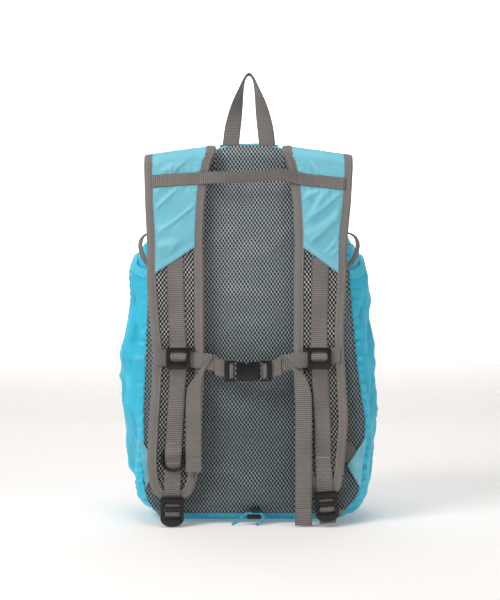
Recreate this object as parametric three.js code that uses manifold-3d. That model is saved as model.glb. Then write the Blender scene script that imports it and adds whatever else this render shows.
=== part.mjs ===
// A light nylon daypack that stands upright. Millimetres, +Z up. The harness side faces -Y, the wearer's side of
// the straps faces the bag, and the origin is the centre of the base on the floor. "Left" is the side at -X.
import * as THREE from 'three';
import { mergeVertices } from 'three/addons/utils/BufferGeometryUtils.js';
import Module from 'manifold-3d';

const wasm = await Module();
wasm.setup();

// Bag body
const bodyHeight = 460;
const backHalfWidth = 132;
const baseHalfWidth = 92;
const rearReach = 78;
const baseDepth = 158;
const topDepth = 92;
const seamHeight = 18;
const sideSwell = 20;
const topSwell = 10;
const frontTaper = 0.94;
const frontRise = 0.96;
const frontBulge = 16;
const cloth = 2;
const seamGap = 0.4;
const backPad = 8;
const backPadRim = 3;

// Side pockets and the loops above them
const pocketSwell = 10;
const pocketClear = 0.8;
const pocketMouthRear = 298;
const pocketMouthFront = 330;
const pocketWall = 1.5;
const pocketHem = 9;
const loopTop = 350;
const loopBottom = 313;
const loopReach = 13;
const loopWidth = 9;

// Shoulder straps
const harnessHalf = 125;
const hangReach = 101;
const strapBow = 6;
const padThickness = 7;
const rootThickness = 2;
const bindingWidth = 10;
const tape = 1.2;
const layer = 0.3;
const webWidth = 20;
const webThickness = 1.4;
const yokeWebWidth = 15;
const yokeWebHeight = 0.9065 * bodyHeight;
const hemInner = 335;
const hemOuter = 304;
const rightEndLift = 7;

// Haul loop
const haulHeight = 88;
const haulFootGap = 23;

// Chest strap
const sternumHeight = 202;
const sliderWidth = 28;
const sliderHeight = 26;
const buckleLength = 56.3;
const buckleHeight = 25;
const buckleThickness = 9;
const buckleDrop = 15;
const tailEndLeft = 66;
const tailEndRight = 2;

// Lower hardware
const lockWidth = 28;
const lockHeight = 36;
const lockThickness = 6;
const lockFloorLeft = 0.8;
const lockFloorRight = 7;
const lockTiltRight = 4.5;
const ringHeight = 88.3;
const ringWire = 4;
const ringHalfWidth = 13.3;
const ringDrop = 20.3;
const hipWebLength = 62;
const cordThickness = 3;
const cordLockWidth = 17;

const clothBlue = { color: 0x4cc3e0, roughness: 0.55, metalness: 0 };
const webGray = { color: 0x7b726c, roughness: 0.85, metalness: 0 };
const meshGray = { color: 0x6f7473, roughness: 0.9, metalness: 0 };
const plastic = { color: 0x1c1d20, roughness: 0.4, metalness: 0 };
const zipTape = { color: 0x2c3236, roughness: 0.7, metalness: 0 };

const backpack = new THREE.Group();

function add(name, geometry, finish, place = {}) {
  const mesh = new THREE.Mesh(geometry, new THREE.MeshStandardMaterial(finish));
  mesh.name = name;
  if (place.at) mesh.position.copy(place.at);
  mesh.rotation.y = place.turn ?? 0;
  backpack.add(mesh);
}

const point = (x, y, z) => new THREE.Vector3(x, y, z);
const flat = (x, y) => new THREE.Vector2(x, y);
const mix = THREE.MathUtils.lerp;
const smooth = (x, from, to) => THREE.MathUtils.smoothstep(x, from, to);

// Reads a column of a table whose rows rise in the key column.
function column(table, key, value, name) {
  const last = table.length - 1;
  if (value <= table[0][key]) return table[0][name];
  if (value >= table[last][key]) return table[last][name];
  const next = table.findIndex((row) => row[key] >= value);
  const low = table[next - 1];
  const high = table[next];
  return mix(low[name], high[name], (value - low[key]) / (high[key] - low[key]));
}

// Closed meshes

function closedMesh(points, faces) {
  let volume = 0;
  for (const [a, b, c] of faces) {
    volume += points[a].dot(points[b].clone().cross(points[c]));
  }
  const geometry = new THREE.BufferGeometry();
  geometry.setFromPoints(points);
  geometry.setIndex(faces.flatMap(([a, b, c]) => (volume > 0 ? [a, b, c] : [a, c, b])));
  return geometry;
}

// A wall between two grids of points with the same rows and columns.
function wall(outer, inner) {
  const rows = outer.length;
  const columns = outer[0].length;
  const faces = [];
  const quad = (a, b, c, d) => faces.push([a, b, c], [a, c, d]);
  const top = (i, j) => i * columns + j;
  const under = (i, j) => (rows + i) * columns + j;
  for (let i = 0; i < rows - 1; i += 1) {
    for (let j = 0; j < columns - 1; j += 1) {
      quad(top(i, j), top(i, j + 1), top(i + 1, j + 1), top(i + 1, j));
      quad(under(i, j), under(i + 1, j), under(i + 1, j + 1), under(i, j + 1));
    }
    quad(top(i, 0), top(i + 1, 0), under(i + 1, 0), under(i, 0));
    quad(top(i + 1, columns - 1), top(i, columns - 1), under(i, columns - 1), under(i + 1, columns - 1));
  }
  for (let j = 0; j < columns - 1; j += 1) {
    quad(top(0, j + 1), top(0, j), under(0, j), under(0, j + 1));
    quad(top(rows - 1, j), top(rows - 1, j + 1), under(rows - 1, j + 1), under(rows - 1, j));
  }
  return closedMesh([...outer.flat(), ...inner.flat()], faces);
}

// A lid between two sets of rings, each running from the rim in to a middle point.
function lid(outerRings, outerMiddle, innerRings, innerMiddle) {
  const count = outerRings[0].length;
  const depth = outerRings.length;
  const points = [...outerRings.flat(), ...innerRings.flat(), outerMiddle, innerMiddle];
  const faces = [];
  const at = (skin, ring, k) => skin * depth * count + ring * count + (k % count);
  for (let k = 0; k < count; k += 1) {
    for (let ring = 0; ring < depth - 1; ring += 1) {
      const [a, b, c, d] = [at(0, ring, k), at(0, ring, k + 1), at(0, ring + 1, k + 1), at(0, ring + 1, k)];
      const [e, f, g, h] = [at(1, ring, k), at(1, ring, k + 1), at(1, ring + 1, k + 1), at(1, ring + 1, k)];
      faces.push([a, b, c], [a, c, d], [e, g, f], [e, h, g]);
    }
    faces.push([at(0, depth - 1, k), at(0, depth - 1, k + 1), points.length - 2]);
    faces.push([at(1, depth - 1, k + 1), at(1, depth - 1, k), points.length - 1]);
    faces.push([at(0, 0, k + 1), at(0, 0, k), at(1, 0, k)], [at(0, 0, k + 1), at(1, 0, k), at(1, 0, k + 1)]);
  }
  return closedMesh(points, faces);
}

// Sections of one profile joined in a row, capped with the profile's own triangles or closed into a ring.
function loft(sections, profile, ring = false) {
  const count = profile.length;
  const faces = [];
  const joins = ring ? sections.length : sections.length - 1;
  for (let i = 0; i < joins; i += 1) {
    for (let k = 0; k < count; k += 1) {
      const next = (i + 1) % sections.length;
      const [a, b] = [i * count + k, i * count + ((k + 1) % count)];
      const [c, d] = [next * count + ((k + 1) % count), next * count + k];
      faces.push([a, b, c], [a, c, d]);
    }
  }
  if (!ring) {
    const end = (sections.length - 1) * count;
    for (const [a, b, c] of THREE.ShapeUtils.triangulateShape(profile, [])) {
      const turned = THREE.ShapeUtils.isClockWise(profile) ? [a, b, c] : [a, c, b];
      faces.push(turned, [end + turned[0], end + turned[2], end + turned[1]]);
    }
  }
  return closedMesh(sections.flat(), faces);
}

// A band of webbing. Each row gives the middle of the section and its width as a vector.
function band(rows, thickness = webThickness) {
  const profile = [flat(-0.5, -0.5), flat(0.5, -0.5), flat(0.5, 0.5), flat(-0.5, 0.5)];
  const normals = rows.slice(1).map((row, k) => (
    row.middle.clone().sub(rows[k].middle).cross(row.across.clone().add(rows[k].across)).normalize()
  ));
  const sections = rows.map((row, k) => {
    const before = normals[Math.max(k - 1, 0)];
    const after = normals[Math.min(k, normals.length - 1)];
    const normal = before.clone().add(after).normalize();
    const reach = thickness / Math.max(normal.dot(after), 0.5);
    return profile.map((corner) => row.middle.clone()
      .addScaledVector(row.across, corner.x)
      .addScaledVector(normal, corner.y * reach));
  });
  return loft(sections, profile);
}

// Booleans

function toSolid(geometry) {
  const bare = geometry.clone();
  bare.deleteAttribute('normal');
  bare.deleteAttribute('uv');
  const merged = mergeVertices(bare, 1e-5);
  return new wasm.Manifold(new wasm.Mesh({
    numProp: 3,
    vertProperties: new Float32Array(merged.attributes.position.array),
    triVerts: new Uint32Array(merged.index.array),
  }));
}

function toGeometry(solid) {
  const mesh = solid.getMesh();
  const geometry = new THREE.BufferGeometry();
  geometry.setAttribute('position', new THREE.BufferAttribute(mesh.vertProperties, 3));
  geometry.setIndex(new THREE.BufferAttribute(mesh.triVerts, 1));
  return geometry;
}

function join(...geometries) {
  return toGeometry(geometries.map(toSolid).reduce((sum, solid) => sum.add(solid)));
}

function cut(geometry, ...tools) {
  return toGeometry(tools.map(toSolid).reduce((rest, tool) => rest.subtract(tool), toSolid(geometry)));
}

// A plate parallel to the harness: the shape is drawn in X and Z, "near" and "far" count out towards -Y.
function plate(shape, near, far, curveSegments = 6) {
  const geometry = new THREE.ExtrudeGeometry(shape, { depth: far - near, bevelEnabled: false, curveSegments });
  geometry.rotateX(Math.PI / 2);
  geometry.translate(0, -near, 0);
  return geometry;
}

function roundedBox(left, bottom, right, top, radius) {
  const shape = new THREE.Shape();
  shape.moveTo(left + radius, bottom);
  shape.lineTo(right - radius, bottom);
  shape.absarc(right - radius, bottom + radius, radius, -Math.PI / 2, 0);
  shape.absarc(right - radius, top - radius, radius, 0, Math.PI / 2);
  shape.absarc(left + radius, top - radius, radius, Math.PI / 2, Math.PI);
  shape.absarc(left + radius, bottom + radius, radius, Math.PI, 1.5 * Math.PI);
  return shape;
}

const bar = (left, bottom, right, top, near, far) => (
  plate(new THREE.Shape([flat(left, bottom), flat(right, bottom), flat(right, top), flat(left, top)]), near, far)
);

// Bag outline: the rim where the back panel meets the sides, as shares of the widest half and of the height.
const sideTable = [
  { half: 0.995, up: 0.135 },
  { half: 1.0, up: 0.27 },
  { half: 0.985, up: 0.33 },
  { half: 0.945, up: 0.48 },
  { half: 0.917, up: 0.66 },
  { half: 0.88, up: 0.72 },
  { half: 0.8, up: 0.78 },
];

// How far the walls between the rims swell, across the bag's depth. The base is flat where it stands.
const swellTable = [
  { across: 0, round: 0, level: 0 },
  { across: 0.1, round: 0.45, level: 0.72 },
  { across: 0.24, round: 0.82, level: 1 },
  { across: 0.5, round: 1, level: 1 },
  { across: 0.76, round: 0.82, level: 1 },
  { across: 0.9, round: 0.45, level: 0.72 },
  { across: 1, round: 0, level: 0 },
];

const baseSteps = 3;
const cornerSteps = 5;
const sideSteps = 8;
const archSteps = 7;

function halfRim() {
  const side = sideTable.map((row) => flat(row.half * backHalfWidth, row.up * bodyHeight));
  const low = side[0];
  const high = side.at(-1);
  const corner = flat(mix(baseHalfWidth, low.x, 0.75), seamHeight);
  const stretches = [
    { curve: new THREE.LineCurve(flat(0, seamHeight), flat(baseHalfWidth, seamHeight)), steps: baseSteps,
      swell: [seamHeight, seamHeight], level: [1, 1] },
    { curve: new THREE.CubicBezierCurve(flat(baseHalfWidth, seamHeight), corner,
      flat(low.x, mix(seamHeight, low.y, 0.36)), low), steps: cornerSteps,
    swell: [seamHeight, sideSwell], level: [1, 0] },
    { curve: new THREE.SplineCurve(side), steps: sideSteps, swell: [sideSwell, 0.75 * sideSwell], level: [0, 0] },
    { curve: new THREE.CubicBezierCurve(high, flat(0.93 * high.x, 0.88 * bodyHeight),
      flat(0.72 * high.x, bodyHeight), flat(0, bodyHeight)), steps: archSteps,
    swell: [0.75 * sideSwell, topSwell], level: [0, 0] },
  ];
  return stretches.flatMap((stretch, index) => {
    const rows = [];
    for (let k = index === 0 ? 0 : 1; k <= stretch.steps; k += 1) {
      const share = k / stretch.steps;
      const at = stretch.curve.getPoint(share);
      const along = stretch.curve.getTangent(share);
      rows.push({ x: at.x, z: at.y, outX: along.y, outZ: -along.x,
        swell: mix(...stretch.swell, share), level: mix(...stretch.level, share) });
    }
    return rows;
  });
}

const rightRim = halfRim();
const leftRim = rightRim.slice(1, -1).reverse().map((row) => ({ ...row, x: -row.x, outX: -row.outX }));
const rim = [...rightRim, ...leftRim];
const rimCount = rim.length;
const sideStart = baseSteps;
const zipStart = baseSteps + cornerSteps + sideSteps - 1;

function rimAt(place) {
  const whole = Math.floor(place);
  const low = rim[((whole % rimCount) + rimCount) % rimCount];
  const high = rim[(((whole + 1) % rimCount) + rimCount) % rimCount];
  const share = place - whole;
  return Object.fromEntries(Object.keys(low).map((name) => [name, mix(low[name], high[name], share)]));
}

// The place on the right-hand rim that lies at a height.
function placeAtHeight(height) {
  let place = baseSteps;
  while (rimAt(place + 0.05).z < height) place += 0.05;
  return place;
}

// Moves a place along the rim by a distance.
function along(place, distance) {
  const here = rimAt(place);
  const there = rimAt(place + Math.sign(distance) * 0.01);
  const length = Math.hypot(there.x - here.x, there.z - here.z);
  return place + (0.01 * distance) / length;
}

const frontHeight = (z) => seamHeight + (z - seamHeight) * frontRise;
const depthAt = (z) => mix(baseDepth, topDepth, (z - seamHeight) / (bodyHeight - seamHeight));

// A point of the wall between the rims, lifted off it along the rim's own outward direction.
function gusset(place, across, lift) {
  const edge = rimAt(place);
  const shape = mix(column(swellTable, 'across', across, 'round'),
    column(swellTable, 'across', across, 'level'), edge.level);
  const rise = edge.swell * shape + lift;
  const z = mix(edge.z, frontHeight(edge.z), across);
  return point(mix(1, frontTaper, across) * edge.x + edge.outX * rise,
    -rearReach + across * depthAt(edge.z), z + edge.outZ * rise);
}

const steps = (from, to, count) => Array.from({ length: count + 1 }, (_, k) => mix(from, to, k / count));
const acrossAll = swellTable.map((row) => row.across);

// A cloth panel of the wall. It starts and ends half a seam gap inside its own stretch of the rim.
function panel(from, to, count, across, lift = () => 0, thickness = cloth) {
  const rows = steps(along(from, seamGap / 2), along(to, -seamGap / 2), count);
  const skin = (extra) => rows.map((place) => across.map((share) => gusset(place, share, lift(share) + extra)));
  return wall(skin(0), skin(-thickness));
}

function buildBody() {
  const between = seamGap / topDepth;
  add('base_panel', panel(-sideStart, sideStart, 2 * baseSteps, acrossAll), clothBlue);
  add('side_panel_right', panel(sideStart, zipStart, zipStart - sideStart, acrossAll), clothBlue);
  add('side_panel_left', panel(-zipStart, -sideStart, zipStart - sideStart, acrossAll), clothBlue);
  const [first, last] = [zipStart, rimCount - zipStart];
  const count = last - first;
  add('top_panel_rear', panel(first, last, count, [0, 0.1, 0.24, 0.4 - between]), clothBlue);
  const ridge = (share) => (Math.abs(share - 0.5) < 0.01 ? 1.4 : 0);
  add('main_zip', panel(first, last, count, [0.4, 0.48, 0.5, 0.52, 0.6], ridge, 1.4), zipTape);
  add('top_panel_front', panel(first, last, count, [0.6 + between, 0.76, 0.9, 1]), clothBlue);

  const shares = [1, 0.95, 0.78, 0.52, 0.26];
  const backRing = (share, out) => rim.map((row) => (
    point(row.x * share, -rearReach - out, mix(0.5 * bodyHeight, row.z, share))));
  const backOut = (share) => seamGap + (share === 1 ? backPadRim : backPad);
  add('back_panel', lid(shares.map((share) => backRing(share, backOut(share))),
    point(0, -rearReach - seamGap - backPad, 0.5 * bodyHeight),
    shares.map((share) => backRing(share, seamGap)), point(0, -rearReach - seamGap, 0.5 * bodyHeight)), meshGray);

  const frontPoint = (row, share, lift) => {
    const z = mix(0.45 * bodyHeight, row.z, share);
    const bulge = frontBulge * (1 - share ** 2.4);
    return point(row.x * share * frontTaper, depthAt(z) - rearReach + bulge + lift, frontHeight(z));
  };
  const frontRing = (share, lift) => rim.map((row) => frontPoint(row, share, lift));
  const middle = { x: 0, z: 0.45 * bodyHeight };
  add('front_panel', lid(shares.map((share) => frontRing(share, seamGap + cloth)),
    frontPoint(middle, 0, seamGap + cloth),
    shares.map((share) => frontRing(share, seamGap)), frontPoint(middle, 0, seamGap)), clothBlue);
}

// Zip sliders with their pulls, resting on the coil beside the top of the arch.
function buildZipSliders() {
  const tab = new THREE.Shape();
  tab.moveTo(-4.5, -3);
  tab.lineTo(4.5, -3);
  tab.lineTo(4.5, 3);
  tab.lineTo(1.6, 4.4);
  tab.lineTo(1.6, 24);
  tab.absarc(0, 24, 1.6, 0, Math.PI);
  tab.lineTo(-1.6, 4.4);
  tab.lineTo(-4.5, 3);
  for (const [name, side] of [['zip_slider_left', -1], ['zip_slider_right', 1]]) {
    const seat = gusset(rimCount / 2 - side * 0.35, 0.5, 0);
    const shape = new THREE.ExtrudeGeometry(tab, { depth: 3, bevelEnabled: false, curveSegments: 4 });
    shape.rotateZ(side * Math.PI / 2);
    shape.rotateZ(Math.PI);
    add(name, shape, plastic, { at: point(seat.x, seat.y, gusset(rimCount / 2, 0.5, 1.4 + layer).z) });
  }
}

// Side pockets: a wall over each side panel, close to it at the seams and standing off at the mouth.
function buildPockets() {
  const rows = 9;
  const start = along(sideStart + 1, 1);
  const mouth = (share) => placeAtHeight(mix(pocketMouthRear, pocketMouthFront, smooth(share, 0, 0.6)));
  const across = acrossAll.map((share) => THREE.MathUtils.clamp(share, 0.02, 0.98));
  const standOff = (share, up) => pocketClear + pocketSwell * smooth(up, -0.1, 0.45) * Math.sin(Math.PI * share) ** 0.8;
  const skin = (from, to, extra, count) => steps(from, to, count).map((up) => across.map((share) => (
    gusset(mix(start, mouth(share), up), share, standOff(share, up) + extra))));
  const hemShare = 1 - pocketHem / (pocketMouthFront - seamHeight);
  for (const [name, side] of [['left', -1], ['right', 1]]) {
    const mirror = (grid) => grid.map((row) => row.map((at) => point(side * at.x, at.y, at.z)));
    add(`side_pocket_${name}`, wall(mirror(skin(0, 1, pocketWall, rows)), mirror(skin(0, 1, 0, rows))), clothBlue);
    const near = pocketWall + layer;
    const hem = wall(mirror(skin(hemShare, 1, near + tape, 1)), mirror(skin(hemShare, 1, near, 1)));
    add(`pocket_hem_${name}`, hem, clothBlue);
    const edge = rimAt(placeAtHeight(loopTop));
    const foot = rimAt(placeAtHeight(loopBottom));
    const half = loopTop - loopBottom;
    const reach = (row, out) => side * (row.x + out);
    const depth = -rearReach - seamGap - backPad - layer - loopWidth / 2;
    const rowsOfLoop = [
      point(side * (edge.x - 4), depth, loopTop - 1),
      point(reach(edge, 3), depth, loopTop - 2),
      point(reach(edge, loopReach), depth, loopTop - 0.3 * half),
      point(reach(foot, 0.9 * loopReach), depth, loopTop - 0.55 * half),
      point(reach(foot, 4), depth, loopBottom + 3),
      point(side * (foot.x - 4), depth, loopBottom),
    ];
    const loop = band(rowsOfLoop.map((middle) => ({ middle, across: point(0, loopWidth, 0) })));
    add(`side_loop_${name}`, loop, webGray);
  }
}

// Shoulder straps. Heights are shares of the bag's height and edges are shares of the harness's half width. "drop"
// lowers the outer edge along the slanted top fold, "end" raises the last rows of the shorter right strap, and
// "lean" sets that strap's inner edge further out.
const strapTable = [
  { up: 0.071, inner: 0.63, left: 0.84, right: 0.83, lean: 0.05, drop: 0, end: 1 },
  { up: 0.086, inner: 0.56, left: 0.91, right: 0.875, lean: 0.05, drop: 0, end: 1 },
  { up: 0.113, inner: 0.518, left: 0.95, right: 0.893, lean: 0.03, drop: 0, end: 0.8 },
  { up: 0.166, inner: 0.49, left: 0.97, right: 0.912, lean: 0.02, drop: 0, end: 0.5 },
  { up: 0.27, inner: 0.466, left: 0.95, right: 0.941, lean: 0, drop: 0, end: 0.2 },
  { up: 0.375, inner: 0.446, left: 0.922, right: 0.922, lean: 0, drop: 0, end: 0 },
  { up: 0.453, inner: 0.44, left: 0.912, right: 0.902, lean: 0, drop: 0, end: 0 },
  { up: 0.53, inner: 0.442, left: 0.941, right: 0.902, lean: 0, drop: 0, end: 0 },
  { up: 0.635, inner: 0.442, left: 0.97, right: 0.926, lean: 0, drop: 0, end: 0 },
  { up: 0.74, inner: 0.451, left: 0.97, right: 0.931, lean: 0, drop: 0, end: 0 },
  { up: 0.844, inner: 0.437, left: 0.989, right: 0.97, lean: 0, drop: 0, end: 0 },
  { up: 0.948, inner: 0.379, left: 1, right: 0.99, lean: 0, drop: 0.35, end: 0 },
  { up: 0.975, inner: 0.33, left: 1, right: 0.99, lean: 0, drop: 0.8, end: 0 },
];
const foldDrop = 12;
const sides = [
  { name: 'left', sign: -1, endLift: 0 },
  { name: 'right', sign: 1, endLift: rightEndLift },
];

// The strap's face bows gently away from the bag between its ends.
const hangFace = (z) => hangReach + strapBow * Math.sin(Math.PI * THREE.MathUtils.clamp(z / bodyHeight, 0, 1));

function strapRows(side) {
  return strapTable.map((row) => ({
    z: row.up * bodyHeight + row.end * side.endLift,
    inner: (row.inner + (side.sign > 0 ? row.lean : 0)) * harnessHalf,
    outer: row[side.name] * harnessHalf,
    drop: row.drop * foldDrop,
  }));
}

// Turns a height, a share across the strap and a distance off its face into a point.
function strapPoint(side, z, across, off) {
  const rows = strapRows(side);
  const inner = column(rows, 'z', z, 'inner');
  const outer = column(rows, 'z', z, 'outer');
  const lowered = z - column(rows, 'z', z, 'drop') * across;
  return point(side.sign * mix(inner, outer, across), -hangFace(lowered) - off, lowered);
}

// The fold over the top and the root that is sewn to the bag behind it, as depths and heights past the last row.
function foldRows(side) {
  const rows = strapRows(side);
  const top = rows.at(-1);
  const face = hangFace(top.z);
  const rootFace = rearReach + seamGap + backPad + layer;
  const rootMiddle = rootFace + rootThickness / 2;
  const bendMiddle = mix(rootMiddle, face - padThickness / 2, 0.5);
  return [
    { y: bendMiddle, z: top.z + 7.5, thick: 0.5 * padThickness, lean: 1 },
    { y: rootMiddle, z: top.z + 1, thick: rootThickness, lean: 2 },
    { y: rootMiddle, z: top.z - 24, thick: rootThickness, lean: 2 },
  ].map((row) => ({ ...row, inner: top.inner, outer: top.outer, drop: top.drop }));
}

// The skins of the strap's pad, or of a layer on it, over the top fold: "near" and "far" count off its face.
function foldPoint(side, row, across, off) {
  const turn = (row.lean * Math.PI) / 2;
  const out = row.thick / 2 + off;
  return point(side.sign * mix(row.inner, row.outer, across),
    -row.y - Math.cos(turn) * out, row.z - row.drop * across + Math.sin(turn) * out);
}

function buildPads() {
  for (const side of sides) {
    const rows = strapRows(side);
    const shares = [0, 0.5, 1];
    const skin = (face, off) => [
      ...rows.map((row) => shares.map((share) => strapPoint(side, row.z, share, off))),
      ...foldRows(side).map((row) => shares.map((share) => foldPoint(side, row, share, face * row.thick))),
    ];
    add(`shoulder_pad_${side.name}`, wall(skin(0, 0), skin(-1, -padThickness)), meshGray);
    buildBinding(side, rows);
    buildPatch(side, rows);
  }
}

// The tape that folds round the strap's edge, from the inner top round the lower end to the outer top.
function buildBinding(side, rows) {
  const front = layer + tape;
  const back = -padThickness - layer - tape;
  const profile = [
    flat(-bindingWidth, front), flat(layer + 0.2, front), flat(layer + tape, front - 1),
    flat(layer + tape, back + 1), flat(layer + 0.2, back), flat(-bindingWidth, back),
    flat(-bindingWidth, back + tape), flat(layer, back + tape), flat(layer, front - tape),
    flat(-bindingWidth, front - tape),
  ];
  const edge = [
    ...rows.map((row) => strapPoint(side, row.z, 0, 0)).reverse(),
    ...rows.map((row) => strapPoint(side, row.z, 1, 0)),
  ];
  const sections = edge.map((at, k) => {
    const before = edge[Math.max(k - 1, 0)];
    const after = edge[Math.min(k + 1, edge.length - 1)];
    const [first, second] = [at.clone().sub(before), after.clone().sub(at)];
    for (const leg of [first, second]) leg.y = 0;
    if (k === 0) first.copy(second);
    if (k === edge.length - 1) second.copy(first);
    const outward = (leg) => point(side.sign * leg.z, 0, -side.sign * leg.x).normalize();
    const isEnd = k === 0 || k === edge.length - 1;
    const normal = outward(first).add(outward(second)).normalize();
    if (isEnd) normal.set(Math.sign(normal.x), 0, 0);
    const stretch = 1 / Math.max(normal.dot(outward(first)), 0.7);
    return profile.map((corner) => {
      const spot = at.clone().addScaledVector(normal, corner.x * (corner.x > 0 ? stretch : 1));
      spot.y = -hangFace(spot.z) - corner.y;
      return spot;
    });
  });
  add(`pad_binding_${side.name}`, loft(sections, profile), webGray);
}

const hemAt = (across) => mix(hemInner, hemOuter, across);

// The nylon facing of the yoke: between the bindings, from the slanted hem up over the top fold.
function buildPatch(side, rows) {
  const shares = [0, 0.33, 0.67, 1];
  const top = rows.at(-1);
  const slant = (z) => Math.hypot(1, (column(rows, 'z', z + 6, 'inner') - column(rows, 'z', z - 6, 'inner')) / 12);
  const share = (row, across) => {
    const inset = (bindingWidth + 4 * layer) / (row.outer - row.inner);
    return mix(inset * slant(row.z), 1 - inset, across);
  };
  const upper = rows.filter((row) => row.z > hemInner + 5);
  const skin = (off) => [
    shares.map((across) => {
      const z = hemAt(across);
      const here = { z, inner: column(rows, 'z', z, 'inner'), outer: column(rows, 'z', z, 'outer') };
      return strapPoint(side, z, share(here, across), off);
    }),
    ...upper.map((row) => shares.map((across) => strapPoint(side, row.z, share(row, across), off))),
    ...foldRows(side).slice(0, 1).map((row) => shares.map((across) => (
      foldPoint(side, row, share(top, across), off)))),
  ];
  add(`yoke_patch_${side.name}`, wall(skin(layer + tape), skin(layer)), clothBlue);
}

// Where each ladder lock hangs, and the matching local frame: right, off the strap's face, up.
const overBinding = layer + tape + layer;
function lockFrame(side) {
  const z = side.sign < 0 ? lockFloorLeft : lockFloorRight;
  const centre = strapPoint(side, strapRows(side)[0].z, 0.5, 0);
  const turn = side.sign < 0 ? 0 : -THREE.MathUtils.degToRad(lockTiltRight);
  const at = point(centre.x, -hangFace(z + lockHeight + 9) - overBinding + layer, z);
  const local = (right, off, up) => point(right, -off, up).applyAxisAngle(point(0, 1, 0), turn).add(at);
  return { at, turn, local };
}

const lockWindowLow = 9;
const lockWindowHigh = 28.8;
const lockSeparator = [20, 22.8];
const fixedBar = [24.4, 26.4];
const threadBar = [13, 16.5];
const lockRear = 2.5;

function buildLocks() {
  const half = lockWidth / 2;
  const outline = new THREE.Shape();
  outline.moveTo(-half, lockWindowLow);
  outline.absellipse(0, lockWindowLow, half, lockWindowLow, Math.PI, 2 * Math.PI);
  outline.lineTo(half, lockHeight - 2);
  outline.lineTo(half - 2, lockHeight);
  outline.lineTo(-half + 2, lockHeight);
  outline.lineTo(-half, lockHeight - 2);
  const inside = webWidth / 2 + layer;
  const body = plate(outline, lockRear, lockRear + lockThickness, 8);
  const windows = [
    bar(-inside, lockWindowLow, inside, lockSeparator[0], 0, 20),
    bar(-inside, lockSeparator[1], inside, lockWindowHigh, 0, 20),
  ];
  const bars = [
    bar(-half + 1, threadBar[0], half - 1, threadBar[1], lockRear, lockRear + 2),
    bar(-half + 1, fixedBar[0], half - 1, fixedBar[1], lockRear, lockRear + 1.5),
  ];
  const lock = join(cut(body, ...windows), ...bars);
  for (const side of sides) {
    const frame = lockFrame(side);
    add(`ladder_lock_${side.name}`, lock, plastic, { at: frame.at, turn: frame.turn });
    buildAdjuster(side, frame);
  }
}

// The lower webbing: sewn at the bag's bottom corner, up behind the lock's bar, over it and down behind the lip.
function buildAdjuster(side, frame) {
  const corner = point(side.sign * (Math.abs(frame.at.x) + 17), -rearReach - backPad - seamGap - 1.2, 17.5);
  const half = webThickness / 2;
  const over = threadBar[1] + layer + half;
  const front = lockRear + 2 + layer + half;
  const behind = lockRear - layer - half;
  const under = threadBar[0] - layer - half;
  const tailDrop = side.sign < 0 ? 2.2 : -2.8;
  const local = [[-0.2, 11.5], [-0.2, over], [front, over], [front, under], [behind, under], [behind, tailDrop]];
  const width = frame.local(webWidth, 0, 0).sub(frame.at);
  const slant = point(0.78 * webWidth, 0, -0.62 * side.sign * webWidth);
  const between = corner.clone().lerp(frame.local(0, -0.2, 11.5), 0.55);
  between.z -= 1;
  add(`adjuster_webbing_${side.name}`, band([
    { middle: corner, across: slant },
    { middle: between, across: slant.clone().lerp(width, 0.5) },
    ...local.map(([off, up]) => ({ middle: frame.local(0, off, up), across: width })),
  ]), webGray);
}

// The strap's centre webbing: out from under the hem, through the slider, over the ring's bar and round the lock.
const slideRise = { low: 3.5, high: 7.1 };
function buildStrapWebbing() {
  const half = webThickness / 2;
  const ramp = 4.5;
  const sliderHalf = sliderHeight / 2 + 0.5;
  for (const side of sides) {
    const frame = lockFrame(side);
    const ring = side.sign < 0 ? [
      [ringHeight + 8.2, layer], [ringHeight + 3.7, 3], [ringHeight + 1.6, ringWire + 2 * layer],
      [ringHeight - 1.6, ringWire + 2 * layer], [ringHeight - 3.7, 3], [ringHeight - 8.2, layer],
    ] : [];
    const table = [
      [sternumHeight + sliderHalf + ramp, layer], [sternumHeight + sliderHalf, slideRise.low],
      [sternumHeight + 8, slideRise.low], [sternumHeight + 5, slideRise.high],
      [sternumHeight - 0.1, slideRise.high], [sternumHeight - 3.4, slideRise.low],
      [sternumHeight - sliderHalf, slideRise.low], [sternumHeight - sliderHalf - ramp, layer],
      ...ring, [65 + side.endLift, layer],
    ];
    const plain = strapRows(side).map((row) => row.z).filter((z) => z < hemOuter - 5 && z > 68 + side.endLift)
      .filter((z) => Math.abs(z - sternumHeight) > sliderHalf + ramp + 3)
      .filter((z) => side.sign > 0 || Math.abs(z - ringHeight) > 14);
    table.push(...plain.map((z) => [z, layer]));
    table.sort((first, second) => second[0] - first[0]);
    const hemRow = (across) => {
      const rows = strapRows(side);
      const width = column(rows, 'z', hemAt(0.5), 'outer') - column(rows, 'z', hemAt(0.5), 'inner');
      const share = 0.5 + (across * webWidth) / 2 / width;
      const spread = (share - 0.5) / (1 - (2 * (bindingWidth + layer)) / width) + 0.5;
      return strapPoint(side, hemAt(spread) - 1.2, share, layer + half);
    };
    const start = { middle: hemRow(0), across: hemRow(side.sign).sub(hemRow(-side.sign)) };
    const wide = point(webWidth, 0, 0);
    const rows = [start, ...table.map(([z, off]) => ({ middle: strapPoint(side, z, 0.5, off + half), across: wide }))];
    const width = frame.local(webWidth, 0, 0).sub(frame.at);
    const over = lockWindowHigh - layer - 0.4 - half;
    const behind = lockRear - 0.7 - half;
    const front = lockRear + 1.5 + layer + half;
    for (const [off, up] of [[behind, lockHeight + 14], [behind, over], [front, over], [front, lockSeparator[1] + 0.6]]) {
      rows.push({ middle: frame.local(0, off, up), across: width });
    }
    add(`strap_webbing_${side.name}`, band(rows), webGray);
  }
}

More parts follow.
